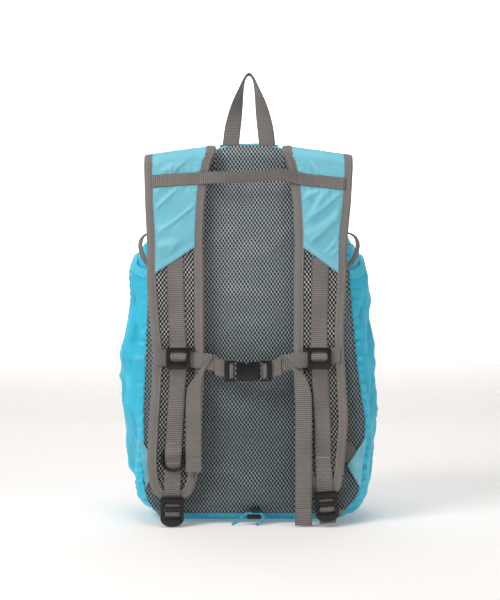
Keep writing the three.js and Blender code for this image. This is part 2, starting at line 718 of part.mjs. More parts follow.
// The D-shaped ring on the left strap: its bar lies under the webbing and its bow on top of it.
function buildRing() {
  const side = sides[0];
  const centre = strapPoint(side, ringHeight, 0.5, 0);
  const lower = ringHeight - ringDrop;
  const bow = ringHalfWidth;
  const path = new THREE.Path();
  path.moveTo(-bow + 3, ringHeight);
  path.lineTo(bow - 3, ringHeight);
  path.quadraticCurveTo(bow, ringHeight, bow, ringHeight - 3);
  path.lineTo(bow, lower + bow * 0.8);
  path.absellipse(0, lower + bow * 0.8, bow, bow * 0.8, 0, -Math.PI, true);
  path.lineTo(-bow, ringHeight - 3);
  path.quadraticCurveTo(-bow, ringHeight, -bow + 3, ringHeight);
  const offAt = (z) => mix(layer + ringWire / 2, 2 * layer + webThickness + ringWire / 2 + 0.2,
    smooth(ringHeight - z, 3, ringDrop));
  const line = path.getPoints(5).slice(0, -1);
  const profile = steps(0, 2 * Math.PI, 6).slice(1).map((turn) => flat(Math.cos(turn), Math.sin(turn)));
  const sections = line.map((at, k) => {
    const before = line[(k + line.length - 1) % line.length];
    const after = line[(k + 1) % line.length];
    const heading = after.clone().sub(before).normalize();
    const out = point(heading.y, 0, -heading.x);
    const y = -hangFace(ringHeight) - offAt(at.y);
    return profile.map((corner) => point(centre.x + at.x, y, at.y)
      .addScaledVector(out, (corner.x * ringWire) / 2)
      .add(point(0, (corner.y * ringWire) / 2, 0)));
  });
  add('d_ring', loft(sections, profile, true), plastic);
}

// Chest strap. The rows give each webbing's middle as shares of the strap's centre line, and its height.
const sliderRear = slideRise.low + webThickness + layer;
function buildSliders() {
  const half = sliderWidth / 2;
  const tall = sliderHeight / 2;
  const inside = webWidth / 2 + layer;
  const front = sliderRear + 3.4;
  const ring = cut(plate(roundedBox(-half, -tall, half, tall, 3.5), sliderRear, front, 3),
    bar(-inside, -3.8, inside, 8.7, 0, 20));
  const middleBar = bar(-half + 2, 0.8, half - 2, 4.1, sliderRear, sliderRear + 1.6);
  for (const side of sides) {
    const [near, far] = side.sign < 0 ? [half - 3, half + 6] : [-half - 6, -half + 3];
    const rails = [
      bar(near, 10.9, far, 12.9, 2, sliderRear + 0.8),
      bar(near, -14.8, far, -12.8, 2, sliderRear + 0.8),
      bar(side.sign < 0 ? near : far - 2.5, -14.8, side.sign < 0 ? near + 2.5 : far, -12, 2, sliderRear + 1.2),
    ];
    const centre = strapPoint(side, sternumHeight, 0.5, 0);
    add(`sternum_slider_${side.name}`, join(ring, middleBar, ...rails), plastic, { at: centre });
  }
}

const buckleCentreX = -1;
const buckleHeightZ = sternumHeight - buckleDrop;
const buckleBody = 28;
const windowHalf = webWidth / 2 + 0.4;

function buildChestStrap() {
  const half = webThickness / 2;
  const face = overBinding + half;
  const barSpan = buckleLength / 2;
  const endBar = barSpan - 4;
  const threadX = endBar - 0.3 - half;
  const innerX = threadX - 5.9;
  const upright = point(0, 0, webWidth);
  for (const side of sides) {
    const outer = strapPoint(side, sternumHeight, 1, 0).x + side.sign * -3.5;
    const pad = strapPoint(side, sternumHeight, 0, 0).x;
    const buckleX = (reach) => buckleCentreX + side.sign * reach;
    const leanOut = side.sign < 0 ? 1.2 : 4.5;
    const depth = hangFace(sternumHeight);
    const rows = [
      { x: outer, off: face, z: sternumHeight + leanOut },
      { x: mix(outer, pad, 0.5), off: face, z: sternumHeight - 0.5 },
      { x: pad, off: face, z: sternumHeight - 3 },
      { x: mix(pad, buckleX(barSpan), 0.6), off: face, z: sternumHeight - 6 },
      { x: buckleX(barSpan + 3), off: 0.3, z: buckleHeightZ + 2.5 },
      { x: buckleX(threadX), off: 0.3, z: buckleHeightZ },
      { x: buckleX(threadX), off: 4.6, z: buckleHeightZ },
      { x: buckleX(innerX), off: 4.6, z: buckleHeightZ },
      { x: buckleX(innerX), off: 1.3, z: buckleHeightZ },
    ];
    add(`sternum_webbing_${side.name}`, band(rows.map((row) => (
      { middle: point(row.x, -depth - row.off, row.z), across: upright }))), webGray);
    buildTail(side);
  }
  buildBuckle();
}

// The loose ends hang from a twist beside the buckle. Edges are distances from the middle of the bag, and "lift" is
// how far above the chest strap's own height a row lies.
const tailTable = {
  left: [
    { lift: 5.2, left: -41.6, right: -41.0 }, { lift: -4, left: -51, right: -46.5 },
    { lift: -11.5, left: -57.6, right: -51.8 }, { lift: -18.6, left: -62.5, right: -54.3 },
    { lift: -25.8, left: -68.5, right: -56 }, { lift: -33, left: -73.5, right: -56.6 },
    { lift: -42.6, left: -75, right: -57 },
  ],
  right: [
    { lift: 5.2, left: 38.6, right: 39.2 }, { lift: -4, left: 42.5, right: 46.6 },
    { lift: -11.5, left: 49.2, right: 55.4 }, { lift: -16, left: 53.4, right: 62 },
    { lift: -21, left: 55, right: 67.2 }, { lift: -28, left: 55.2, right: 71 },
    { lift: -38, left: 55.2, right: 74.4 },
  ],
};
const tailHang = { left: { left: -75.6, right: -56.4 }, right: { left: 55.2, right: 75.6 } };

function buildTail(side) {
  const low = side.sign < 0 ? tailEndLeft : tailEndRight;
  const end = tailHang[side.name];
  const twist = tailTable[side.name].map((row) => ({ ...row, z: sternumHeight + row.lift }));
  const fall = steps(twist.at(-1).z, low, 3).slice(1).map((z) => ({ z, ...end }));
  const off = (z) => 4.6 + 2.4 * smooth(sternumHeight - z, 20, 90);
  add(`sternum_tail_${side.name}`, band([...twist, ...fall].map((row) => ({
    middle: point((row.left + row.right) / 2, -hangFace(row.z) - off(row.z), row.z),
    across: point(row.right - row.left, 0, 0),
  }))), webGray);
}

function buildBuckle() {
  const tall = buckleHeight / 2;
  const reach = buckleLength / 2;
  const core = buckleBody / 2;
  const wide = windowHalf;
  const near = 1.5;
  const place = { at: point(buckleCentreX, -hangFace(sternumHeight), buckleHeightZ) };
  const frameThickness = buckleThickness - 2;
  const seam = core - 1.6;
  const notch = (radius) => {
    const circle = new THREE.Shape();
    circle.absarc(4.6, tall + 0.9, radius, 0, 2 * Math.PI);
    return circle;
  };
  const frame = (sign) => {
    const [from, to] = sign < 0 ? [-reach, -core + 1] : [seam + 0.4, reach];
    return cut(plate(roundedBox(from, -tall, to, tall, 2), near, frameThickness, 2),
      bar(sign < 0 ? -reach + 4 : core, -wide, sign < 0 ? -core : reach - 4, wide, 0, 20));
  };
  const threadBarPlate = (sign) => {
    const [from, to] = sign < 0 ? [-reach + 6, -reach + 9.6] : [reach - 9.6, reach - 6];
    return bar(from, -tall + 1, to, tall - 1, near, near + 2);
  };
  const shell = plate(roundedBox(-core, -tall + 0.6, seam, tall - 1.6, 1.5), 0, buckleThickness, 3);
  const cavity = bar(-core + 4, -9.6, seam + 5, 9.2, 2.2, 6.8);
  const armSlot = bar(seam - 12, 3.5, seam + 5, tall + 1, 2.2, 6.8);
  const socket = cut(join(shell, frame(-1), threadBarPlate(-1)), cavity, armSlot,
    plate(notch(8.5), -1, buckleThickness + 1, 6));
  add('buckle_socket', socket, plastic, place);
  const tongue = bar(-core + 5, -9.2, seam + 2, 8.8, 2.6, 6.4);
  const shoulder = plate(roundedBox(seam - 12, 4, seam + 2, tall - 1.4, 3), 2.6, 6.4, 4);
  const kept = cut(shoulder, bar(-core - 5, -20, seam - 11.6, 20, 0, 20));
  add('buckle_prong', join(frame(1), threadBarPlate(1), tongue, kept), plastic, place);
}

// The webbing across the yokes, sewn to both and bowing out between them. "across" is a share of its half run and
// "lift" a share of its width.
function buildYokeWebbing() {
  const halfRun = 0.912 * harnessHalf;
  const table = [
    { across: -1, lift: -0.18, height: 1, bow: 0 }, { across: -0.7, lift: -0.03, height: 1, bow: 0 },
    { across: -0.5, lift: 0.07, height: 1, bow: 0 }, { across: -0.35, lift: 0.11, height: 0.95, bow: 0.5 },
    { across: -0.16, lift: 0.07, height: 0.85, bow: 0.9 }, { across: 0.07, lift: 0.15, height: 0.8, bow: 1 },
    { across: 0.28, lift: 0.37, height: 0.9, bow: 0.8 }, { across: 0.42, lift: 0.25, height: 1, bow: 0.4 },
    { across: 0.53, lift: 0.01, height: 1, bow: 0 }, { across: 0.77, lift: -0.2, height: 1, bow: 0 },
    { across: 1, lift: -0.4, height: 1, bow: 0 },
  ];
  const off = overBinding + webThickness / 2;
  add('yoke_webbing', band(table.map((row) => {
    const z = yokeWebHeight + row.lift * yokeWebWidth;
    const depth = hangFace(z - 0.6 * yokeWebWidth) + off + 8 * row.bow;
    return { middle: point(row.across * halfRun, -depth, z),
      across: point(0, 0, row.height * yokeWebWidth) };
  })), webGray);
}

// The haul loop: a band from the top seam that turns edge-on at its peak and comes back down.
function buildHaulLoop() {
  const leg = [
    { spread: 0.97, up: 0, turn: 0 }, { spread: 0.93, up: 0.09, turn: 0 }, { spread: 0.87, up: 0.24, turn: 0.1 },
    { spread: 0.74, up: 0.43, turn: 0.32 }, { spread: 0.6, up: 0.61, turn: 0.57 },
    { spread: 0.44, up: 0.76, turn: 0.8 }, { spread: 0.29, up: 0.9, turn: 0.95 },
    { spread: 0.14, up: 0.975, turn: 1 },
  ];
  const apex = { spread: 0, up: 1, turn: 1 };
  const foot = rimAt(rimCount / 2 - 0.4).z + seamGap;
  const rimMiddle = -rearReach - seamGap - backPadRim / 2;
  const row = (share, sign) => {
    const turn = (share.turn * Math.PI) / 2;
    return {
      middle: point(sign * share.spread * haulFootGap, rimMiddle + 3 * share.up, foot + share.up * haulHeight),
      across: point(-sign * Math.cos(turn), Math.sin(turn), 0).multiplyScalar(webWidth),
    };
  };
  add('haul_loop', band([
    ...leg.map((share) => row(share, -1)), row(apex, 1), ...leg.map((share) => row(share, 1)).reverse(),
  ]), webGray);
}

// Hip wings: a cloth triangle in each side seam with a webbing stub tucked behind the strap.
function buildHips() {
  const face = rearReach + seamGap + backPad;
  for (const side of sides) {
    const edgeX = side.sign < 0 ? 0.93 : 1;
    const [high, apex, low] = [[134, 114], [113, 75], [131, 47]]
      .map(([x, z]) => flat(side.sign * x * edgeX, z));
    const triangle = new THREE.Shape([high, apex, low]);
    const webNear = face + layer;
    const wingNear = webNear + webThickness + layer;
    add(`hip_wing_${side.name}`, plate(triangle, wingNear, wingNear + tape), clothBlue);
    const sewn = apex.clone().lerp(high, 0.3);
    const heading = flat(-side.sign * 0.76, 0.65);
    const along2 = flat(side.sign * 0.65, 0.76).multiplyScalar(webWidth / 2);
    const reach = heading.clone().multiplyScalar(hipWebLength);
    const start = sewn.clone().addScaledVector(heading, -9);
    const corners = [
      start.clone().add(along2), start.clone().sub(along2),
      start.clone().sub(along2).add(reach), start.clone().add(along2).add(reach),
    ];
    add(`hip_webbing_${side.name}`, plate(new THREE.Shape(corners), webNear, webNear + webThickness), webGray);
  }
}

// The cord lock under the back panel, a spool with two flanges, and the cord that is threaded between them.
const cordRoute = [
  [-20.5, -98, 1.8], [-17, -97, 2.9], [-13, -95.8, 5], [-9.6, -94.8, 8.4], [-6.8, -93.8, 11.8], [-2.6, -92.7, 13.7],
  [2, -92.2, 13.8], [6, -92, 13.8], [10, -92.2, 13.8], [14.2, -93, 13.3], [17.2, -94.2, 11], [17.4, -95.6, 7.6],
  [15.2, -96.8, 4.6], [12, -97.8, 2.6], [8.6, -98.6, 1.8],
];

function buildDrawcord() {
  const octagon = new THREE.Shape(steps(0, 2 * Math.PI, 8).slice(1)
    .map((turn) => flat(Math.cos(turn), Math.sin(turn)).multiplyScalar(cordThickness / 2)));
  const path = new THREE.CatmullRomCurve3(cordRoute.map(([x, y, z]) => point(x, y, z)), false, 'centripetal');
  add('drawcord', new THREE.ExtrudeGeometry(octagon, { steps: 16, extrudePath: path, bevelEnabled: false }), clothBlue);
}

function buildCordLock() {
  const half = cordLockWidth / 2;
  const deep = 8;
  const lower = plate(roundedBox(-half, -2.2, half, 2.2, 2), 0, deep, 3);
  const upper = plate(roundedBox(-half + 5, 6, half, 11.2, 2), 0, deep, 3);
  const seat = backPad - 1.5;
  const neck = bar(-half + 7, 0, half - 3, 8, -seat, 3);
  const at = point(6, -rearReach - seamGap - backPad - layer, seamHeight - 8 - seamGap);
  add('cord_lock', join(lower, upper, neck), plastic, { at });
}

buildBody();
buildZipSliders();
buildPockets();
buildPads();
buildStrapWebbing();
buildLocks();
buildRing();
buildSliders();
buildChestStrap();
buildYokeWebbing();
buildHaulLoop();
buildHips();
buildCordLock();
buildDrawcord();

export default backpack;
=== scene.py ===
# A light nylon daypack with its harness side to the camera: cloth, mesh, webbing, stitching and hardware.
# Sizes below are millimetres, as in the part's source, and a mesh gets metres when it is made.
import math

import bmesh
import bpy
import numpy as np
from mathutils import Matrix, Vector, noise


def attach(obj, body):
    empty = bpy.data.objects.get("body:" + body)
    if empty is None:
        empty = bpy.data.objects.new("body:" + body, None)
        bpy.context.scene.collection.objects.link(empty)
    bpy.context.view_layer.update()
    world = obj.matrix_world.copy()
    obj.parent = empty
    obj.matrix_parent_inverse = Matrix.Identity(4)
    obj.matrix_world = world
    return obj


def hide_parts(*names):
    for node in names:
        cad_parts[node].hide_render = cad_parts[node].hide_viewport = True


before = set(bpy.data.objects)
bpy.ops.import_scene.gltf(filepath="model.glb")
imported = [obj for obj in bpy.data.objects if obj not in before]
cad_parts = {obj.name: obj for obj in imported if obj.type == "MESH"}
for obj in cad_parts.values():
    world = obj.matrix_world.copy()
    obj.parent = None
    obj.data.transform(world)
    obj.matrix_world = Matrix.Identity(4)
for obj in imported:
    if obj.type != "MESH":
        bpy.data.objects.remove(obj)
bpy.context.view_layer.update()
MM = 0.001

# Bag sizes
BODY_HEIGHT = 460
BACK_HALF_WIDTH = 132
BASE_HALF_WIDTH = 92
REAR_REACH = 78
BASE_DEPTH = 158
TOP_DEPTH = 92
SEAM_HEIGHT = 18
SIDE_SWELL = 20
TOP_SWELL = 10
FRONT_TAPER = 0.94
FRONT_RISE = 0.96
FRONT_BULGE = 16
SEAM_GAP = 0.4
BACK_PAD = 8
BACK_PAD_RIM = 3

# Pocket and side loop sizes
POCKET_SWELL = 10
POCKET_MOUTH_REAR = 309
POCKET_MOUTH_FRONT = 333
POCKET_HEM = 9
LOOP_WIDTH = 9

# Harness sizes
HARNESS_HALF = 125
HANG_REACH = 101
STRAP_BOW = 6
PAD_THICKNESS = 7
ROOT_THICKNESS = 2
BINDING_WIDTH = 10
TAPE = 1.2
LAYER = 0.3
WEB_WIDTH = 20
WEB_THICKNESS = 1.4
YOKE_WEB_WIDTH = 15
YOKE_WEB_HEIGHT = 417
HEM_INNER = 335
HEM_OUTER = 304
RIGHT_END_LIFT = 7
FOLD_DROP = 14
HAUL_HEIGHT = 88
HAUL_FOOT_GAP = 23
HIP_WEB_LENGTH = 62

# Chest strap and hardware sizes
STERNUM_HEIGHT = 202
SLIDER_HEIGHT = 26
BUCKLE_LENGTH = 56.3
BUCKLE_DROP = 15
BUCKLE_CENTRE_X = -1
TAIL_END_LEFT = 66
TAIL_END_RIGHT = 2
LOCK_HEIGHT = 36
LOCK_FLOOR_LEFT = 0.8
LOCK_FLOOR_RIGHT = 7
LOCK_TILT_RIGHT = 4.5
RING_HEIGHT = 88.3
RING_WIRE = 4
CORD_THICKNESS = 3

SIDES = (("left", -1), ("right", 1))


def put_in_scene(name, data):
    made = bpy.data.objects.new(name, data)
    bpy.context.scene.collection.objects.link(made)
    return made


def make_camera():
    """The camera stands level at the height of the bag's middle."""
    data = bpy.data.cameras.new("camera")
    data.lens = 85
    data.sensor_width = 36
    data.clip_start = 0.05
    camera = put_in_scene("camera", data)
    camera.location = (0.0012, -1.805, 0.272)
    camera.rotation_euler = (math.radians(90), 0, 0)
    bpy.context.scene.camera = camera


make_camera()


# Shader writing
class Value:
    """A socket that takes part in arithmetic."""

    def __init__(self, shader, socket):
        self.shader = shader
        self.socket = socket

    def _math(self, kind, other=0.0, swap=False):
        first, second = (other, self) if swap else (self, other)
        return self.shader.node("ShaderNodeMath", {"operation": kind}, [first, second])

    def __add__(self, other):
        return self._math("ADD", other)

    __radd__ = __add__

    def __mul__(self, other):
        return self._math("MULTIPLY", other)

    def __sub__(self, other):
        return self._math("SUBTRACT", other)

    def __rsub__(self, other):
        return self._math("SUBTRACT", other, True)

    def __pow__(self, other):
        return self._math("POWER", other)

    def __abs__(self):
        return self._math("ABSOLUTE")


class Shader:
    """Builds one material's nodes."""

    def __init__(self, name):
        self.material = bpy.data.materials.new(name)
        self.material.use_nodes = True
        self.tree = self.material.node_tree
        self.tree.nodes.clear()

    def node(self, kind, settings=None, inputs=(), output=0):
        made = self.tree.nodes.new(kind)
        for key, value in (settings or {}).items():
            setattr(made, key, value)
        pairs = inputs.items() if isinstance(inputs, dict) else enumerate(inputs)
        for key, value in pairs:
            self.feed(made.inputs[key], value)
        return Value(self, made.outputs[output])

    def feed(self, socket, value):
        if isinstance(value, Value):
            self.tree.links.new(value.socket, socket)
        else:
            socket.default_value = value

    def uv(self):
        both = self.node("ShaderNodeUVMap", {"uv_map": "cloth"})
        split = self.node("ShaderNodeSeparateXYZ", {}, [both])
        return both, split, Value(self, split.socket.node.outputs[1])

    def attribute(self, name):
        return self.node("ShaderNodeAttribute", {"attribute_name": name}, output=2)

    def place(self):
        return self.node("ShaderNodeTexCoord", output=3)

    def grain(self, where, scale, detail=3.0, rough=0.5):
        made = self.node("ShaderNodeTexNoise", {"noise_dimensions": "3D"},
                         {"Vector": where, "Scale": scale, "Detail": detail, "Roughness": rough})
        return Value(self, made.socket.node.outputs[0])

    def wave(self, value, period, shift=0.0):
        turned = value * (2 * math.pi / period) + shift
        return turned._math("SINE")

    def step(self, value, low, high):
        return self.node("ShaderNodeMapRange", {"interpolation_type": "SMOOTHSTEP", "clamp": True},
                         [value, low, high, 0.0, 1.0])

    def blend(self, share, first, second):
        made = self.node("ShaderNodeMix", {"data_type": "RGBA"}, {0: share})
        node = made.socket.node
        self.feed(node.inputs[6], first)
        self.feed(node.inputs[7], second)
        return Value(self, node.outputs[2])

    def bump(self, height, strength, distance, onto=None):
        inputs = {"Strength": strength, "Distance": distance, "Height": height}
        if onto is not None:
            inputs["Normal"] = onto
        return self.node("ShaderNodeBump", {}, inputs)

    def finish(self, base, roughness, normal=None, **constants):
        made = self.tree.nodes.new("ShaderNodeBsdfPrincipled")
        self.feed(made.inputs["Base Color"], base)
        self.feed(made.inputs["Roughness"], roughness)
        if normal is not None:
            self.feed(made.inputs["Normal"], normal)
        for key, value in constants.items():
            made.inputs[key.replace("_", " ")].default_value = value
        out = self.tree.nodes.new("ShaderNodeOutputMaterial")
        self.tree.links.new(made.outputs[0], out.inputs[0])
        return self.material


def rgb(red, green, blue):
    """A colour given as it looks on a screen, 0 to 255, as the linear values that a shader takes."""
    linear = (((c / 255 + 0.055) / 1.055) ** 2.4 if c > 10 else c / 255 / 12.92 for c in (red, green, blue))
    return (*linear, 1)


def nylon_cloth(name, deep, clear, pale, crumpled):
    """Thin coated nylon: a fine square weave, a silky sheen, painted highlight on the crests of its creases
    and painted shade in their hollows.
    """
    s = Shader(name)
    where, u, v = s.uv()
    weave = s.wave(u, 0.0009) * s.wave(v, 0.0009)
    cloud = s.grain(s.place(), 22.0, 4.0)
    crest = s.attribute("crest")
    tone = s.blend(s.step(cloud, 0.25, 0.8) * 0.2, clear, deep)
    # painted highlight: raised crests of the relief are mixed towards the pale colour
    tone = s.blend(s.step(crest, 0.6, 1.0) * 0.34, tone, pale)
    # painted shade: hollows of the relief are mixed towards the deep colour
    tone = s.blend(s.step(1.0 - crest, 0.58, 1.0) * 0.36, tone, deep)
    tone = s.blend(s.step(weave, 0.2, 1.0) * 0.10, tone, pale)
    fine = s.grain(where, 900.0, 2.0)
    crinkle = s.grain(s.place(), 120.0, 5.0, 0.6)
    bend = s.node("ShaderNodeMapping", {},
                  {"Vector": s.place(), "Rotation": (0, 0.6, 0), "Scale": (1, 1, 0.45)})
    crumple = 1.0 - abs(s.grain(bend, 21.0, 2.0, 0.4) * 2.0 - 1.0)
    normal = s.bump(weave, 0.12, 0.0002)
    normal = s.bump(fine, 0.06, 0.0003, normal)
    normal = s.bump(crinkle, 0.3, 0.0008, normal)
    normal = s.bump(crumple ** 3.0, 0.55, crumpled, normal)
    return s.finish(tone, 0.44 + cloud * 0.12, normal, Sheen_Weight=0.06, Sheen_Roughness=0.4,
                    Specular_IOR_Level=0.3)


def spacer_mesh(name, thread, shade, hole, open_share, pitch=0.0043):
    """Open spacer mesh: slanting rows of holes, knitted threads between them and a dark lining colour with
    painted shade in the holes; painted highlight on raised threads, painted shade low down.
    """
    s = Shader(name)
    where, u, v = s.uv()
    drift = s.grain(where, 55.0, 1.0)
    across = u + (drift - 0.5) * 0.0012
    rise = v + (drift - 0.5) * 0.0009
    tilt = rise * 0.694
    cell = s.wave(across + tilt, pitch) * 1.05 + s.wave(across - tilt, pitch) * 0.95
    rim = s.step(cell, open_share - 0.35, open_share + 0.4)
    knit = s.wave(u, 0.00072) * s.wave(v, 0.00061)
    cloud = s.grain(s.place(), 16.0, 3.0)
    crest_highlight = s.attribute("crest")
    yarn = s.blend(s.step(knit, -0.4, 0.9), shade, thread)
    yarn = s.blend(s.step(cloud, 0.35, 0.75) * 0.35, yarn, shade)
    # painted highlight: threads on raised parts of the relief are mixed towards the light thread colour
    yarn = s.blend(s.step(crest_highlight, 0.5, 1.0) * 0.35, yarn, thread)
    # painted shade: below 0.32 m the mesh is mixed towards dark grey, darker towards the bottom
    height = s.node("ShaderNodeSeparateXYZ", {}, [s.place()], 2)
    yarn = s.blend(s.step(0.32 - height, 0.0, 0.2) * 0.55, yarn, (0.11, 0.125, 0.13, 1))
    # the holes take the lining's dark colour, with painted shade inside them
    tone = s.blend(rim, yarn, hole)
    normal = s.bump(1.0 - rim, 0.9, 0.0011)
    normal = s.bump(knit, 0.35, 0.00018, normal)
    return s.finish(tone, 0.78 + rim * 0.15, normal, Sheen_Weight=0.15, Specular_IOR_Level=0.3)


def woven_tape(name, body, low, high, rib, column, strength=0.55):
    """Webbing: cross ribs of weft over long warp columns, with fuzz and uneven dye."""
    s = Shader(name)
    where, u, v = s.uv()
    ribs = s.wave(v, rib)
    columns = s.wave(u, column)
    checker = s.wave(u, column * 2) * s.wave(v, rib * 2)
    weave = ribs * 0.55 + columns * 0.25 + checker * 0.35
    cloud = s.grain(s.place(), 26.0, 4.0)
    fuzz = s.grain(where, 1400.0, 2.0)
    tone = s.blend(s.step(weave, -0.9, 0.9), low, high)
    tone = s.blend(0.45, tone, body)
    tone = s.blend(s.step(cloud, 0.35, 0.8) * 0.35, tone, low)
    edge = s.attribute("edge")
    tone = s.blend(s.step(edge, 0.82, 1.0) * 0.35, tone, low)
    normal = s.bump(weave, strength, 0.00035)
    normal = s.bump(fuzz, 0.25, 0.00025, normal)
    return s.finish(tone, 0.82 + fuzz * 0.12, normal, Sheen_Weight=0.25, Sheen_Roughness=0.5,
                    Specular_IOR_Level=0.3)


def moulded_plastic(name, dark, worn_and_lit):
    """Moulded acetal: fine spark texture, flow marks and paler edges that are partly wear and partly painted
    highlight.
    """
    s = Shader(name)
    spark = s.grain(s.place(), 2600.0, 2.0)
    cloud = s.grain(s.place(), 90.0, 4.0)
    # convex edges are mixed towards the paler tone: partly edge wear, partly painted highlight
    edge_wear_and_highlight = s.step(s.node("ShaderNodeNewGeometry", output=7), 0.52, 0.62)
    tone = s.blend(s.step(cloud, 0.35, 0.8) * 0.5, dark, worn_and_lit)
    tone = s.blend(edge_wear_and_highlight * 0.35, tone, worn_and_lit)
    normal = s.bump(spark, 0.18, 0.00012)
    return s.finish(tone, 0.26 + cloud * 0.18, normal, Specular_IOR_Level=0.5)


def sewing_thread(name, colour, shade):
    """Twisted polyester thread."""
    s = Shader(name)
    twist = s.grain(s.place(), 1500.0, 1.0)
    tone = s.blend(s.step(twist, 0.3, 0.7), shade, colour)
    return s.finish(tone, 0.7, s.bump(twist, 0.3, 0.0001), Sheen_Weight=0.2)


def braided_cord(name, colour, fleck):
    """Braided cord: two crossing sets of strands with a dark tracer."""
    s = Shader(name)
    _, u, v = s.uv()
    left = s.wave(u * 3.0 + v, 0.0022)
    right = s.wave(u * 3.0 - v, 0.0022)
    braid = left * right
    tracer = s.step(s.wave(v + u * 1.5, 0.0066), 0.86, 0.97)
    tone = s.blend(s.step(braid, -0.9, 0.3) * 0.6 + 0.4, fleck, colour)
    tone = s.blend(tracer, tone, fleck)
    return s.finish(tone, 0.6, s.bump(braid, 0.6, 0.0004), Sheen_Weight=0.2)


CYAN_DEEP = rgb(10, 118, 154)
CYAN = rgb(58, 196, 226)
CYAN_PALE = rgb(122, 222, 242)

nylon = nylon_cloth("nylon_cyan", CYAN_DEEP, CYAN, CYAN_PALE, 0.006)
nylon_yoke = nylon_cloth("nylon_yoke", rgb(66, 146, 168), rgb(118, 191, 208), rgb(156, 216, 229), 0.0024)
back_mesh = spacer_mesh("mesh_back", rgb(204, 206, 206), rgb(140, 146, 147), rgb(3, 46, 58), 0.02)
strap_mesh = spacer_mesh("mesh_strap", rgb(222, 220, 216), rgb(144, 143, 140), rgb(12, 12, 13), -0.2)
webbing = woven_tape("webbing_gray", rgb(118, 112, 108), rgb(78, 74, 71), rgb(158, 152, 147), 0.0024,
                     0.0019, 0.9)
grosgrain = woven_tape("binding_gray", rgb(122, 116, 113), rgb(100, 95, 92), rgb(140, 134, 130), 0.0013,
                       0.0018, 0.45)
plastic = moulded_plastic("plastic_black", rgb(7, 8, 9), rgb(24, 26, 29))
thread_gray = sewing_thread("thread_gray", rgb(186, 180, 174), rgb(132, 126, 120))
thread_cyan = sewing_thread("thread_cyan", rgb(176, 228, 240), rgb(96, 184, 208))
zip_cloth = woven_tape("zip_tape", rgb(44, 50, 54), rgb(30, 34, 38), rgb(62, 68, 72), 0.0013, 0.0018, 0.4)
zip_nylon = moulded_plastic("zip_coil", rgb(26, 30, 33), rgb(60, 64, 68))
cord_cloth = braided_cord("cord_cyan", rgb(70, 186, 216), rgb(14, 60, 78))


# Mesh writing
def piece(name, points, faces, material, uv=None, **attributes):
    """One object from millimetre points, with its uv in metres and its attributes given per point."""
    points = np.asarray(points, float)
    mesh = bpy.data.meshes.new(name)
    mesh.from_pydata((points * MM).tolist(), [], [list(map(int, face)) for face in faces])
    if uv is not None:
        layer = mesh.uv_layers.new(name="cloth")
        corners = np.empty(len(mesh.loops), int)
        mesh.loops.foreach_get("vertex_index", corners)
        layer.data.foreach_set("uv", np.asarray(uv, float)[corners].astype(np.float32).ravel())
    for key, values in attributes.items():
        field = mesh.attributes.new(key, "FLOAT", "POINT")
        field.data.foreach_set("value", np.asarray(values, np.float32).ravel())
    mesh.materials.append(material)
    mesh.validate()
    mesh.shade_smooth()
    return put_in_scene(name, mesh)


def outward(points, faces):
    """Turns the faces of a closed mesh so that they point out."""
    points = np.asarray(points, float)
    volume = 0.0
    for face in faces:
        a = points[face[0]]
        for k in range(1, len(face) - 1):
            volume += np.dot(a, np.cross(points[face[k]], points[face[k + 1]]))
    return [face[::-1] for face in faces] if volume < 0 else faces


def shell(outer, inner, closed=False):
    """Points and faces of the wall between two grids. closed joins the last column to the first."""
    rows, columns = outer.shape[:2]
    points = np.concatenate([outer.reshape(-1, 3), inner.reshape(-1, 3)])
    under = rows * columns
    faces = []
    last = columns if closed else columns - 1
    for i in range(rows - 1):
        for j in range(last):
            k = (j + 1) % columns
            a, b, c, d = i * columns + j, i * columns + k, (i + 1) * columns + k, (i + 1) * columns + j
            faces.append([a, b, c, d])
            faces.append([under + a, under + d, under + c, under + b])
    for i in (0, rows - 1):
        for j in range(last):
            a, b = i * columns + j, i * columns + (j + 1) % columns
            faces.append([b, a, under + a, under + b] if i == 0 else [a, b, under + b, under + a])
    if not closed:
        for j in (0, columns - 1):
            for i in range(rows - 1):
                a, b = i * columns + j, (i + 1) * columns + j
                faces.append([a, b, under + b, under + a] if j == 0 else [b, a, under + a, under + b])
    return points, outward(points, faces)


def cloth_piece(name, outer, inner, material, uv, **tones):
    """One piece between two grids, with the same uv and per-point numbers on both of its faces."""
    points, faces = shell(outer, inner)
    both = {key: np.concatenate([tone.ravel()] * 2) for key, tone in tones.items()}
    return piece(name, points, faces, material, np.concatenate([uv.reshape(-1, 2)] * 2), **both)


def tube_faces(count, around):
    """Faces of a tube whose points go around it ring by ring."""
    faces = []
    for i in range(count - 1):
        for j in range(around):
            k = (j + 1) % around
            faces.append([i * around + j, i * around + k, (i + 1) * around + k, (i + 1) * around + j])
    return faces


def unit(rows):
    return rows / np.linalg.norm(rows, axis=-1, keepdims=True)


def run_of(points):
    """The distance along a line of points, at each of them."""
    return np.concatenate([[0], np.cumsum(np.linalg.norm(np.diff(points, axis=0), axis=1))])


def pick_at(far, length, rows):
    """The row at a distance along a line, between its neighbours."""
    return np.array([np.interp(far, length, rows[:, k]) for k in range(3)])


def grid_normals(grid):
    """Unit normals of a grid of points, from its rows and columns."""
    along = np.gradient(grid, axis=0)
    across = np.gradient(grid, axis=1)
    normal = np.cross(across, along)
    length = np.linalg.norm(normal, axis=2, keepdims=True)
    return normal / np.maximum(length, 1e-9)


def grid_uv(grid):
    """Distances along the rows and the columns of a grid, in metres."""
    down = np.concatenate([np.zeros((1, grid.shape[1])),
                           np.cumsum(np.linalg.norm(np.diff(grid, axis=0), axis=2), axis=0)])
    over = np.concatenate([np.zeros((grid.shape[0], 1)),
                           np.cumsum(np.linalg.norm(np.diff(grid, axis=1), axis=2), axis=1)], axis=1)
    over -= over[:, over.shape[1] // 2:over.shape[1] // 2 + 1]
    return np.stack([over, down], axis=2) * MM


def smooth(value, low, high):
    share = np.clip((value - low) / (high - low), 0, 1)
    return share * share * (3 - 2 * share)


def mix(first, second, share):
    return first + (second - first) * share


